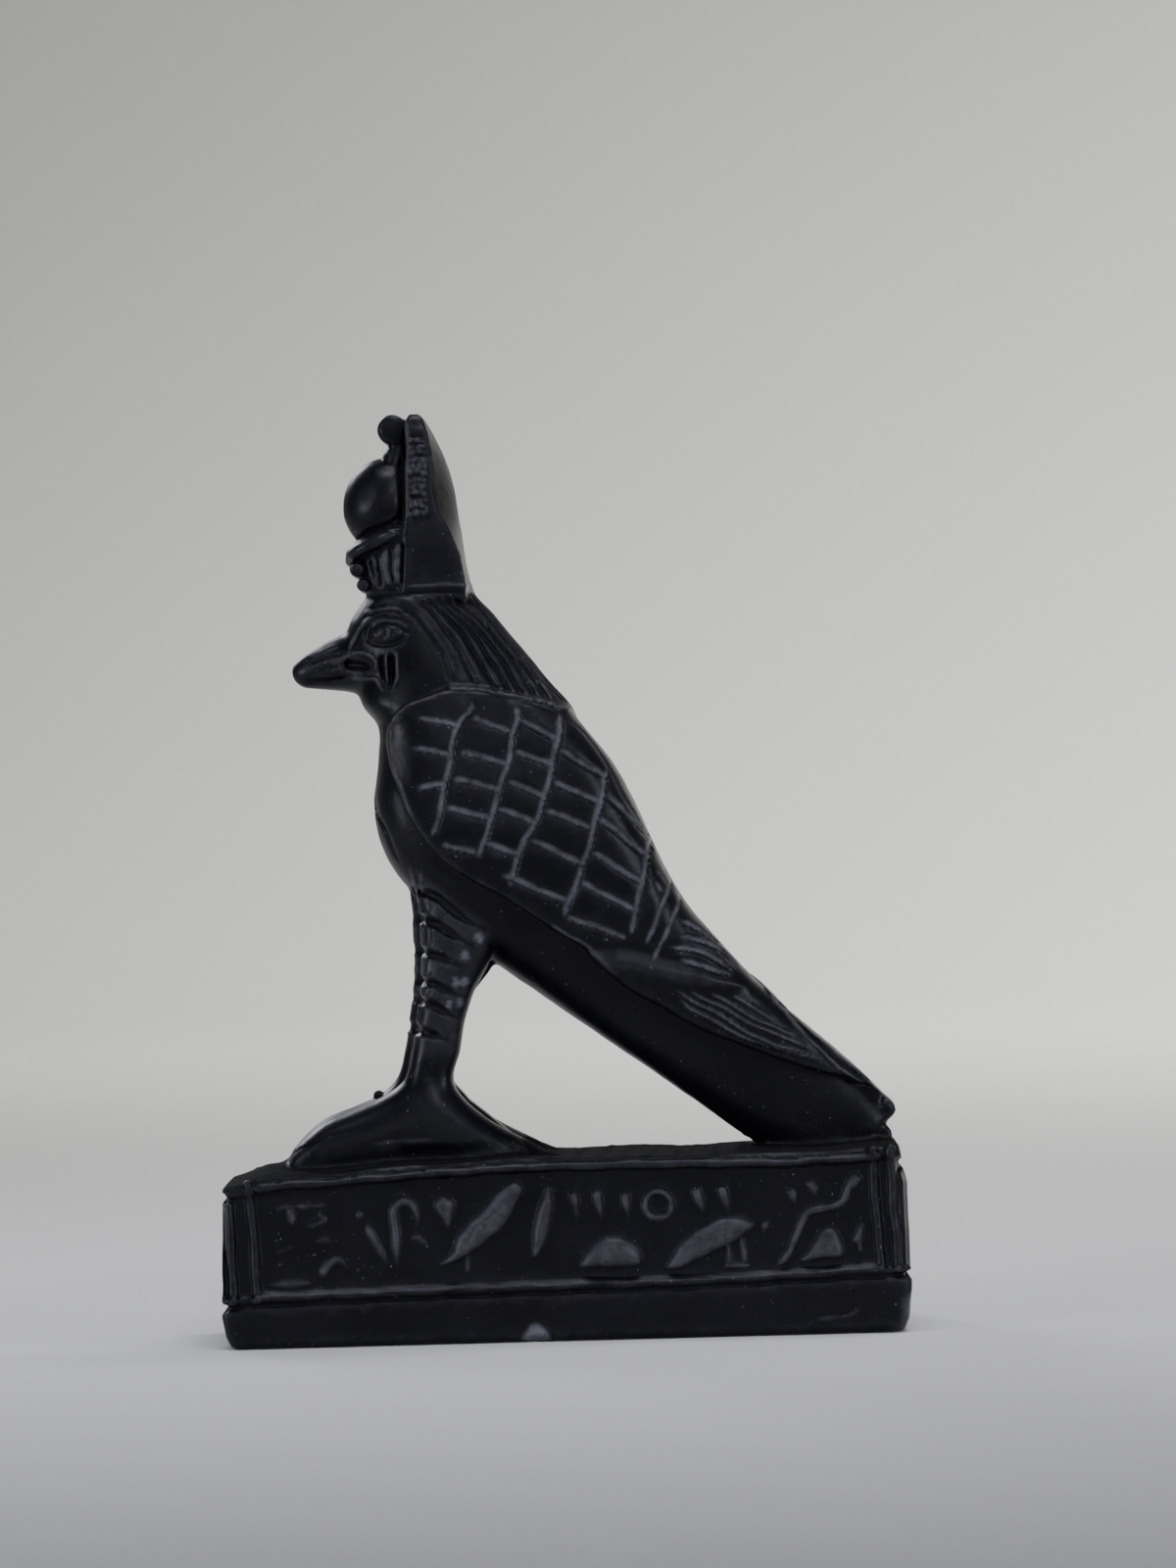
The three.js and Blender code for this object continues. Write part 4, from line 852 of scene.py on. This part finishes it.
def marks_near(side):
    line, dome, mound = side.line, side.dome, side.mound
    # Worn marks at the front end
    line(path(-40.4,19.4, -37.4,19.9, -34,19.8, -32.4,20), 0.8, 0.35, (0.3, 0.4), vary=0.2)
    line(path(-38.2,19.6, -37.9,17.2), 1.1, 0.5, (0.1, 0.4))
    line(path(-33.6,19.4, -34,18.4, -33.4,17.6, -36.2,16.8), 0.6, 0.3, (0.3, 0.3))
    mound((-33.6, 14.6), 1.3, 0.8, 0.2)
    line(path(-40.6,13.4, -37.4,14.2), 0.4, 0.15, (0.3, 0.3))
    side.leaf((-41.2, 8.9), (-35.6, 9.1), 1.4, 0.3)
    line(path(-34.3,9.8, -32.9,11.6, -31.6,12.2, -30,10.8), 1.3, 0.5, (0.2, 0.7))
    # Slanted tick, crook and teardrop
    line(path(-28.9,18.3, -28.2,18.5), 1.1, 0.3, (0.2, 0.2))
    line(path(-27.6,17.4, -26.5,14.6, -24.7,11.3), 1.2, 0.5, (0.3, 0.5))
    line(CROOK, 1.35, 0.65, (0.3, 0.35))
    line(path(-21.8,14.6, -20.6,15, -18.8,13.3), 0.9, 0.25, (0.3, 0.5))
    dome(TEARDROP, 1.0)
    # Long slanted leaf
    dome(LONG_LEAF, 1.35, 1.4)
    line(path(-15.1,12.9, -13.2,14.9, -12.4,16.2, -10.4,17.8, -8.8,19.4), 0.6, -0.35, (0.3, 0.3), add=True)
    line(path(-12.9,15.4, -12.5,16.8), 0.6, -0.4, (0.3, 0.3), add=True)
    line(path(-13.8,12.6, -13.7,9.6), 0.6, 0.35, (0.0, 0.4))
    # Spindle, ticks, ring and half round
    dome(SPINDLE, 1.15)
    for x, z, lean, size in ((1.3, 21.0, 0.3, 4.0), (4.5, 20.9, 0.5, 4.0), (8.3, 20.6, 0.6, 3.6)):
        line([(x, z), (x + lean, z - size)], 1.35, 0.8, (0.15, 0.75))
    side.ring((12.95, 18.65), 1.85, 1.0, 0.75)
    for x in (18.2, 21.7):
        line([(x, 20.9), (x + 1.1, 20.9 - 3.5)], 1.5, 0.8, (0.05, 0.75))
    dome(HALF_ROUND, 1.5, 2.0)
    # Long leaf on two pegs
    dome(SHORT_LEAF, 1.2, 1.3)
    for k in range(3):
        vein = path(16.2 + k, 12.0 - 0.3 * k, 20.0 + k, 14.4 - 0.5 * k, 23.4 + 0.6 * k, 15.6 - 0.7 * k)
        line(vein, 0.4, -0.15, (0.3, 0.3), add=True)
    line(path(27.3,15.2, 28.2,15.2), 1.1, 0.4, (0.2, 0.3))
    for x in (22.4, 24.4):
        line([(x, 13.9), (x + 0.4, 10.2)], 0.7, 0.45, (0.0, 0.1))
    line(path(22,9.9, 25.6,9.8), 0.8, 0.4, (0.2, 0.2))
    # Wavy cord, ticks, mound and dart
    line(CORD, 1.3, 0.85, (0.12, 0.0))
    line(path(40,20.9, 40.4,21.4), 1.9, 0.75)
    for x, z in ((31.3, 20.3), (34.0, 21.3)):
        line([(x, z), (x + 0.9, z - 2.0)], 1.1, 0.45, (0.1, 0.6))
    dome(LAST_MOUND, 1.1)
    line(path(34.9,11.7, 36.2,12.4), 0.8, -0.35, (0.3, 0.3), add=True)
    dome(DART, 0.7, 0.7)


def marks_far(side):
    for x, z, length, lean, width in FAR_LEAVES:
        dx, dz = 0.5 * length * math.sin(math.radians(lean)), 0.5 * length * math.cos(math.radians(lean))
        side.leaf((x - dx, z - dz), (x + dx, z + dz), width, 0.55)
    side.ring((2.4, 18.6), 1.9, 0.9, 0.4)
    side.mound((5.0, 10.8), 3.6, 2.8, 0.6)


def carve_back(field):
    """Stripes down the back of the wig, and the seam between the wings below it."""
    heights, backs = zip(*[(r[2], r[1]) for r in reversed(HEAD)])
    cuts, (x, y, z) = field.window((-16.0, -8.0, 88.6), (3.5, 8.0, 104.5), 0.0)
    facing = ramp((x - np.interp(z, heights, backs) + 2.2) / 1.6) * ramp((z - 88.6) / 0.8)
    facing = facing * ramp((6.6 - np.abs(y)) / 1.5)
    gap = np.abs((np.abs(y) + BACK_PITCH / 2) % BACK_PITCH - BACK_PITCH / 2)
    field.value[cuts] += (0.5 * np.clip(1 - gap / 0.75, 0, 1) ** 1.6 * facing).astype(np.float32)
    heights, backs = zip(*[(r[3], r[2]) for r in reversed(BODY[1:])])
    cuts, (x, y, z) = field.window((0.0, -2.0, 34.0), (46.0, 2.0, 87.0), 0.0)
    facing = ramp((x - np.interp(z, heights, backs) + 4.0) / 2.0)
    facing = facing * ramp((87.0 - z) / 1.5) * ramp((z - 36.0) / 8.0)
    field.value[cuts] += (0.45 * np.clip(1 - np.abs(y) / 0.9, 0, 1) ** 1.3 * facing).astype(np.float32)


def press_both(near, far, low_z, high_z, start, run):
    """Presses both maps between two heights, from y = start on and in full after run more."""
    near.press(low_z, high_z, lambda y: ramp((-y - start) / run))
    far.press(low_z, high_z, lambda y: ramp((y - start) / run))


def roughen(field):
    """The slight unevenness of a hand-finished cast, and the plinth's rough top."""
    x, z = field.axes[0][:, None], field.axes[2][None, :]
    wave = (0.045 * np.sin(0.45 * x + 0.3 * z + 1) * np.cos(0.5 * z - 0.2 * x)
            + 0.02 * np.sin(1.3 * x - 0.9 * z) * np.sin(1.1 * z + 0.5 * x))
    field.value += wave[:, None, :].astype(np.float32)
    y, high = field.axes[1][None, :], field.axes[2]
    rough = sum(np.sin(2 * math.pi * (x * math.cos(turn) + y * math.sin(turn)) / pitch + turn * 9)
                for turn, pitch in TOP_WAVES)
    rough = TOP_ROUGHNESS * rough * (1 + 0.5 * np.sin(0.5 * x + 0.7 * y) * np.sin(0.9 * x - 0.6 * y))
    rough = rough * ramp((16.8 - np.abs(y)) / 1.0)
    level = ramp((high - 24.7) / 0.5) * ramp((27.6 - high) / 0.5)
    field.value += (rough[:, :, None] * level).astype(np.float32)


def build():
    """The figure's field, and the maps of dust and painted light of its near and far side."""
    field = Field()
    build_body(field)
    build_head(field)
    build_legs(field)
    build_crown(field)
    near, far = Side(field, 3), Side(field, 5)
    for side, lead in ((near, 0.0), (far, FAR_LEG_LEAD)):
        carve_wing(side)
        carve_head(side)
        carve_crown(side)
        carve_leg(side, lead)
    press_both(near, far, *FIGURE_RELIEF)
    dust = [near.dust, far.dust]
    carve_back(field)
    build_plinth(field)
    near, far = Side(field, 7), Side(field, 11)
    carve_plinth(near, True)
    carve_plinth(far, False)
    press_both(near, far, *PLINTH_RELIEF)
    low = field.axes[2] < PLINTH_PAINT_TOP
    for layer, side in zip(dust, (near, far)):
        layer[:, low] = side.dust[:, low]
    roughen(field)
    return field, dust


def box_blur(value, steps):
    """The average over a small cube round each cell."""
    for axis in range(3):
        total = np.cumsum(value, axis=axis, dtype=np.float32)
        ahead = np.roll(total, -steps, axis)
        behind = np.roll(total, steps + 1, axis)
        value = (ahead - behind) / np.float32(2 * steps + 1)
    return value


def sample(field, values, points):
    """Values at points, from the grid's cells round them."""
    place = [(points[:, k] - axis[0]) / VOXEL for k, axis in enumerate(field.axes)]
    base = [np.clip(p.astype(int), 0, n - 2) for p, n in zip(place, values.shape)]
    share = [np.clip(p - b, 0, 1) for p, b in zip(place, base)]
    out = 0
    for dx in (0, 1):
        for dy in (0, 1):
            for dz in (0, 1):
                weight = 1
                for s, d in zip(share, (dx, dy, dz)):
                    weight = weight * (s if d else 1 - s)
                out = out + weight * values[base[0] + dx, base[1] + dy, base[2] + dz]
    return out


def keep_largest(mesh):
    """Takes out every part of the mesh that doesn't hang together with its largest one."""
    work = bmesh.new()
    work.from_mesh(mesh)
    left, parts = set(work.verts), []
    while left:
        part = [left.pop()]
        for vertex in part:
            for edge in vertex.link_edges:
                other = edge.other_vert(vertex)
                if other in left:
                    left.discard(other)
                    part.append(other)
        parts.append(part)
    for part in sorted(parts, key=len)[:-1]:
        bmesh.ops.delete(work, geom=part, context="VERTS")
    work.to_mesh(mesh)
    work.free()


def to_object(field, name):
    """The field's surface as one mesh of no more than TRIANGLES."""
    grid = vdb.FloatGrid(BAND)
    grid.copyFromArray(field.value, ijk=tuple(field.first))
    grid.transform = vdb.createLinearTransform(voxelSize=VOXEL)
    points, tris, quads = grid.convertToPolygons(isovalue=0.0, adaptivity=0.0)
    mesh = bpy.data.meshes.new(name)
    faces = [tuple(q) for q in quads.tolist()] + [tuple(t) for t in tris.tolist()]
    mesh.from_pydata((points * MM).tolist(), [], faces)
    piece = bpy.data.objects.new(name, mesh)
    bpy.context.scene.collection.objects.link(piece)
    count = 2 * len(quads) + len(tris)
    if count > TRIANGLES:
        thin = piece.modifiers.new("thin", "DECIMATE")
        thin.ratio = TRIANGLES / count
        evaluated = piece.evaluated_get(bpy.context.evaluated_depsgraph_get())
        mesh = bpy.data.meshes.new_from_object(evaluated)
        piece.modifiers.clear()
        piece.data = mesh
        mesh.name = name
    keep_largest(mesh)
    mesh.shade_smooth()
    return piece


def add_masks(piece, field, dust):
    """Stores on each vertex how deep in a hollow it lies, how far out on an edge, and its dust and painted
    light.
    """
    mesh = piece.data
    count = len(mesh.vertices)
    points = np.empty(count * 3, np.float32)
    normals = np.empty(count * 3, np.float32)
    mesh.vertices.foreach_get("co", points)
    mesh.vertices.foreach_get("normal", normals)
    points = points.reshape(-1, 3) / MM
    normals = normals.reshape(-1, 3)
    blurred = box_blur(field.value, max(1, round(HOLLOW_REACH / VOXEL)))
    lean = sample(field, blurred, points) - sample(field, field.value, points)
    hollow = np.clip(-lean / HOLLOW_LEAN, 0, 1)
    edge = np.clip(lean / HOLLOW_LEAN, 0, 1)
    dust_and_painted_light_amount = 0
    for side, layer in zip((-1, 1), dust):
        dust_and_painted_light_amount = dust_and_painted_light_amount + flat_sample(field, layer, points) * ramp((side * points[:, 1] - 1.5) / 1.5)
    dust_and_painted_light_amount = dust_and_painted_light_amount * np.clip(np.abs(normals[:, 1]) * 1.5 - 0.1, 0, 1)
    # The plinth's top is left matt and painted dark as painted shade
    top = ramp((normals[:, 2] - 0.5) / 0.3) * (points[:, 2] < 27.5)
    top = top * ramp((16.9 - np.abs(points[:, 1])) / 0.5)
    dust_and_painted_light_amount = dust_and_painted_light_amount * (1 - top) - top
    for name, values in (("hollow", hollow), ("edge", edge), ("dust", dust_and_painted_light_amount)):
        mesh.attributes.new(name, "FLOAT", "POINT").data.foreach_set("value", values.astype(np.float32))


def flat_sample(field, layer, points):
    """A side view map's values at points, from the four cells round each."""
    place = [np.clip((points[:, k] - field.axes[k][0]) / VOXEL, 0, len(field.axes[k]) - 1.001)
             for k in (0, 2)]
    (i, s), (j, t) = [(p.astype(int), p % 1) for p in place]
    return ((layer[i, j] * (1 - s) + layer[i + 1, j] * s) * (1 - t)
            + (layer[i, j + 1] * (1 - s) + layer[i + 1, j + 1] * s) * t)


def resin_material():
    """Satin black cast resin: slight mottling, fine casting grain, pale dust in the carving, painted
    highlights on raised parts and painted shade in grooves.
    """
    material = bpy.data.materials.new("black_resin_cast")
    material.use_nodes = True
    nodes, links = material.node_tree.nodes, material.node_tree.links
    nodes.clear()
    output = nodes.new("ShaderNodeOutputMaterial")
    shader = nodes.new("ShaderNodeBsdfPrincipled")
    links.new(shader.outputs["BSDF"], output.inputs["Surface"])
    coords = nodes.new("ShaderNodeTexCoord").outputs["Object"]

    def noise(scale, detail=3.0, rough=0.5):
        node = nodes.new("ShaderNodeTexNoise")
        node.inputs["Scale"].default_value = scale
        node.inputs["Detail"].default_value = detail
        node.inputs["Roughness"].default_value = rough
        links.new(coords, node.inputs["Vector"])
        return node.outputs["Fac"]

    def attribute(name):
        node = nodes.new("ShaderNodeAttribute")
        node.attribute_name = name
        return node.outputs["Fac"]

    def spread(value, low, high, to_low=0.0, to_high=1.0):
        node = nodes.new("ShaderNodeMapRange")
        for key, number in (("From Min", low), ("From Max", high), ("To Min", to_low), ("To Max", to_high)):
            node.inputs[key].default_value = number
        links.new(value, node.inputs["Value"])
        return node.outputs["Result"]

    def maths(kind, a, b):
        node = nodes.new("ShaderNodeMath")
        node.operation = kind
        for socket, value in zip(node.inputs, (a, b)):
            if isinstance(value, (int, float)):
                socket.default_value = value
            else:
                links.new(value, socket)
        return node.outputs[0]

    def blend(factor, a, b):
        node = nodes.new("ShaderNodeMix")
        node.data_type = "RGBA"
        links.new(factor, node.inputs["Factor"])
        for socket, value in ((node.inputs["A"], a), (node.inputs["B"], b)):
            if isinstance(value, tuple):
                socket.default_value = (*value, 1)
            else:
                links.new(value, socket)
        return node.outputs["Result"]

    mottle, grain, specks = noise(*MOTTLE), noise(*GRAIN), noise(*SPECKS)
    shader.inputs["Specular IOR Level"].default_value = SHINE
    body = blend(spread(mottle, 0.35, 0.7), BODY_DARK, BODY_LIGHT)
    worn = maths("MULTIPLY", attribute("edge"), spread(specks, 0.35, 0.7, 0.2, 1.0))
    body = blend(maths("MULTIPLY", worn, 0.55), body, EDGE_COLOUR)
    # Painted shade: where the map is below 0 the colour goes near black and the surface rougher
    dark = spread(attribute("dust"), -1.0, 0.0, 1.0, 0.0)
    body = blend(dark, body, PAINTED_SHADE_COLOUR)
    # Pale dust and painted highlights where the map is above 0, broken up by specks
    dust_and_painted_light_amount = maths("MULTIPLY", spread(attribute("dust"), 0.0, 1.0), spread(specks, 0.3, 0.62, 0.45, 1.0))
    speck = spread(noise(*FINE_SPECKS), 0.71, 0.74)
    dust_and_painted_light_amount = maths("MAXIMUM", dust_and_painted_light_amount, maths("MULTIPLY", speck, 0.75))
    body = blend(maths("MULTIPLY", dust_and_painted_light_amount, 0.8), body, DUST_AND_HIGHLIGHT_COLOUR)
    links.new(body, shader.inputs["Base Color"])
    rough = spread(noise(*SHEEN), 0.3, 0.7, *ROUGHNESS)
    rough = maths("ADD", rough, maths("MULTIPLY", dust_and_painted_light_amount, 0.3))
    rough = maths("ADD", rough, maths("MULTIPLY", attribute("hollow"), 0.12))
    rough = maths("ADD", rough, maths("MULTIPLY", dark, 0.6))
    links.new(rough, shader.inputs["Roughness"])
    bump = nodes.new("ShaderNodeBump")
    bump.inputs["Strength"].default_value = BUMP_STRENGTH
    bump.inputs["Distance"].default_value = BUMP_HEIGHT
    height = maths("ADD", grain, maths("MULTIPLY", noise(*PITTING), 1.6))
    height = maths("MULTIPLY", height, maths("ADD", maths("MULTIPLY", dark, 6.0), 1.0))
    links.new(height, bump.inputs["Height"])
    links.new(bump.outputs["Normal"], shader.inputs["Normal"])
    return material


def paper_material(name, colour, roughness):
    """Matt paper, very slightly uneven in colour."""
    material = bpy.data.materials.new(name)
    material.use_nodes = True
    nodes, links = material.node_tree.nodes, material.node_tree.links
    shader = nodes["Principled BSDF"]
    shader.inputs["Roughness"].default_value = roughness
    shader.inputs["Specular IOR Level"].default_value = 0.25
    paper = nodes.new("ShaderNodeTexNoise")
    paper.inputs["Scale"].default_value = 6.0
    paper.inputs["Detail"].default_value = 6.0
    links.new(nodes.new("ShaderNodeTexCoord").outputs["Object"], paper.inputs["Vector"])
    shade = nodes.new("ShaderNodeMix")
    shade.data_type = "RGBA"
    links.new(paper.outputs["Fac"], shade.inputs["Factor"])
    shade.inputs["A"].default_value = (*[0.97 * c for c in colour], 1)
    shade.inputs["B"].default_value = (*colour, 1)
    links.new(shade.outputs["Result"], shader.inputs["Base Color"])
    return material


def make_stage():
    """A round pale floor that curves up into a wall all round."""
    radius, cove, wall, sides = 2.3, 0.9, 2.6, 96
    profile = [(0.0, 0.0), (0.4, 0.0), (1.0, 0.0)]
    profile += [(radius - cove + cove * math.sin(t), cove * (1 - math.cos(t)))
                for t in np.linspace(0, math.pi / 2, 24)]
    profile.append((radius, wall))
    points, faces = [], []
    for r, z in profile[1:]:
        for i in range(sides):
            turn = 2 * math.pi * i / sides
            points.append((r * math.cos(turn), r * math.sin(turn), z))
    for k in range(len(profile) - 2):
        for i in range(sides):
            j = (i + 1) % sides
            faces.append((k * sides + j, k * sides + i, (k + 1) * sides + i, (k + 1) * sides + j))
    faces.append(tuple(range(sides)))
    mesh = bpy.data.meshes.new("floor")
    mesh.from_pydata(points, [], faces)
    mesh.shade_smooth()
    floor = bpy.data.objects.new("floor", mesh)
    floor.data.materials.append(paper_material("pale_paper", FLOOR_COLOUR, FLOOR_ROUGHNESS))
    bpy.context.scene.collection.objects.link(floor)


def make_camera():
    """The photograph looks square at the near side, and the figure leans a little in it."""
    data = bpy.data.cameras.new("camera")
    data.lens, data.sensor_width = CAMERA_LENS, CAMERA_SENSOR
    camera = bpy.data.objects.new("camera", data)
    roll = math.radians(CAMERA_ROLL_DEG)
    right = Vector((math.cos(roll), 0, -math.sin(roll)))
    up = Vector((math.sin(roll), 0, math.cos(roll)))
    turn = Matrix((right, up, Vector((0, -1, 0)))).transposed()
    camera.matrix_world = Matrix.Translation([v * MM for v in CAMERA_PLACE]) @ turn.to_4x4()
    bpy.context.scene.collection.objects.link(camera)
    bpy.context.scene.camera = camera


def area_light(name, place, target, size, power, colour, spread):
    """A rectangular lamp; power in watts, spread in degrees."""
    data = bpy.data.lights.new(name, "AREA")
    data.shape, data.size, data.size_y = "RECTANGLE", size[0], size[1]
    data.energy, data.color, data.spread = power, colour, math.radians(spread)
    light = bpy.data.objects.new(name, data)
    light.location = place
    light.rotation_euler = (Vector(target) - Vector(place)).to_track_quat("-Z", "Y").to_euler()
    bpy.context.scene.collection.objects.link(light)


def make_lights():
    """The lamps, and a faint even glow from all round."""
    world = bpy.data.worlds.new("studio")
    world.use_nodes = True
    background = world.node_tree.nodes["Background"]
    background.inputs["Color"].default_value = (*WORLD_COLOUR, 1)
    background.inputs["Strength"].default_value = WORLD_STRENGTH
    bpy.context.scene.world = world
    for row in LIGHTS:
        area_light(*row)

BODY_DARK, BODY_LIGHT = (0.0018, 0.0018, 0.0036), (0.0038, 0.0037, 0.0070)
SHINE, ROUGHNESS = 0.16, (0.32, 0.41)
# How far a hollow is looked for, and how deep it is in full, in mm
HOLLOW_REACH, HOLLOW_LEAN = 0.75, 0.22
# Noise: scale per metre, detail, roughness
MOTTLE, GRAIN, SPECKS = (55.0, 4.0), (900.0, 3.0, 0.6), (420.0, 2.0, 0.7)
FINE_SPECKS, SHEEN, PITTING = (1500.0, 2.0, 0.8), (240.0, 3.0), (300.0, 2.0)
BUMP_STRENGTH, BUMP_HEIGHT = 0.3, 0.00015
EDGE_COLOUR = (0.035, 0.035, 0.041)
# The pale of dust and painted highlights, and the near black of painted shade
DUST_AND_HIGHLIGHT_COLOUR = (0.17, 0.17, 0.2)
PAINTED_SHADE_COLOUR = (0.0012, 0.0012, 0.0017)
FLOOR_COLOUR, FLOOR_ROUGHNESS = (0.66, 0.66, 0.64), 0.8
CAMERA_PLACE, CAMERA_ROLL_DEG = (4.83, -1000.0, 77.34), 1.55
CAMERA_LENS, CAMERA_SENSOR = 162.5, 36.0
WORLD_COLOUR, WORLD_STRENGTH = (0.9, 0.92, 1.0), 0.03
COOL, WHITE = (0.88, 0.89, 1.0), (1, 1, 1)
# Name, place, target, size, watts, colour, spread in degrees; the last two light the paper behind
LIGHTS = [
    ("top", (0.0, -0.2, 1.3), (0, 0, 0.07), (0.6, 0.6), 0.68, COOL, 40.0),
    ("left_low", (-1.05, -0.55, 0.12), (0, 0, 0.07), (0.5, 0.2), 0.36, COOL, 40.0),
    ("left", (-0.85, -0.8, 0.6), (0, 0, 0.07), (0.3, 0.55), 0.095, COOL, 30.0),
    ("right", (0.9, -0.75, 0.35), (0, 0, 0.07), (0.4, 0.6), 0.33, COOL, 30.0),
    ("above", (0.3, -0.95, 0.9), (0, 0, 0.13), (0.45, 0.35), 0.095, COOL, 16.0),
    ("front", (0.0, -1.25, 0.35), (0, 0, 0.07), (0.6, 0.4), 0.07, COOL, 30.0),
    ("far", (-0.5, 1.05, 0.62), (0, 0, 0.08), (0.4, 0.4), 0.18, COOL, 30.0),
    ("room", (0.6, 0.45, 1.7), (0.45, 1.35, 0.0), (0.7, 0.5), 13.5, WHITE, 105.0),
    ("backdrop", (0.8, 0.55, 1.9), (0.8, 1.3, 0.0), (0.5, 0.5), 12.5, WHITE, 70.0),
]

make_camera()
make_stage()
make_lights()
field, dust = build()
cast = to_object(field, "falcon_cast")
add_masks(cast, field, dust)
cast.data.materials.clear()
cast.data.materials.append(resin_material())
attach(cast, "root")
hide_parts(NODE)
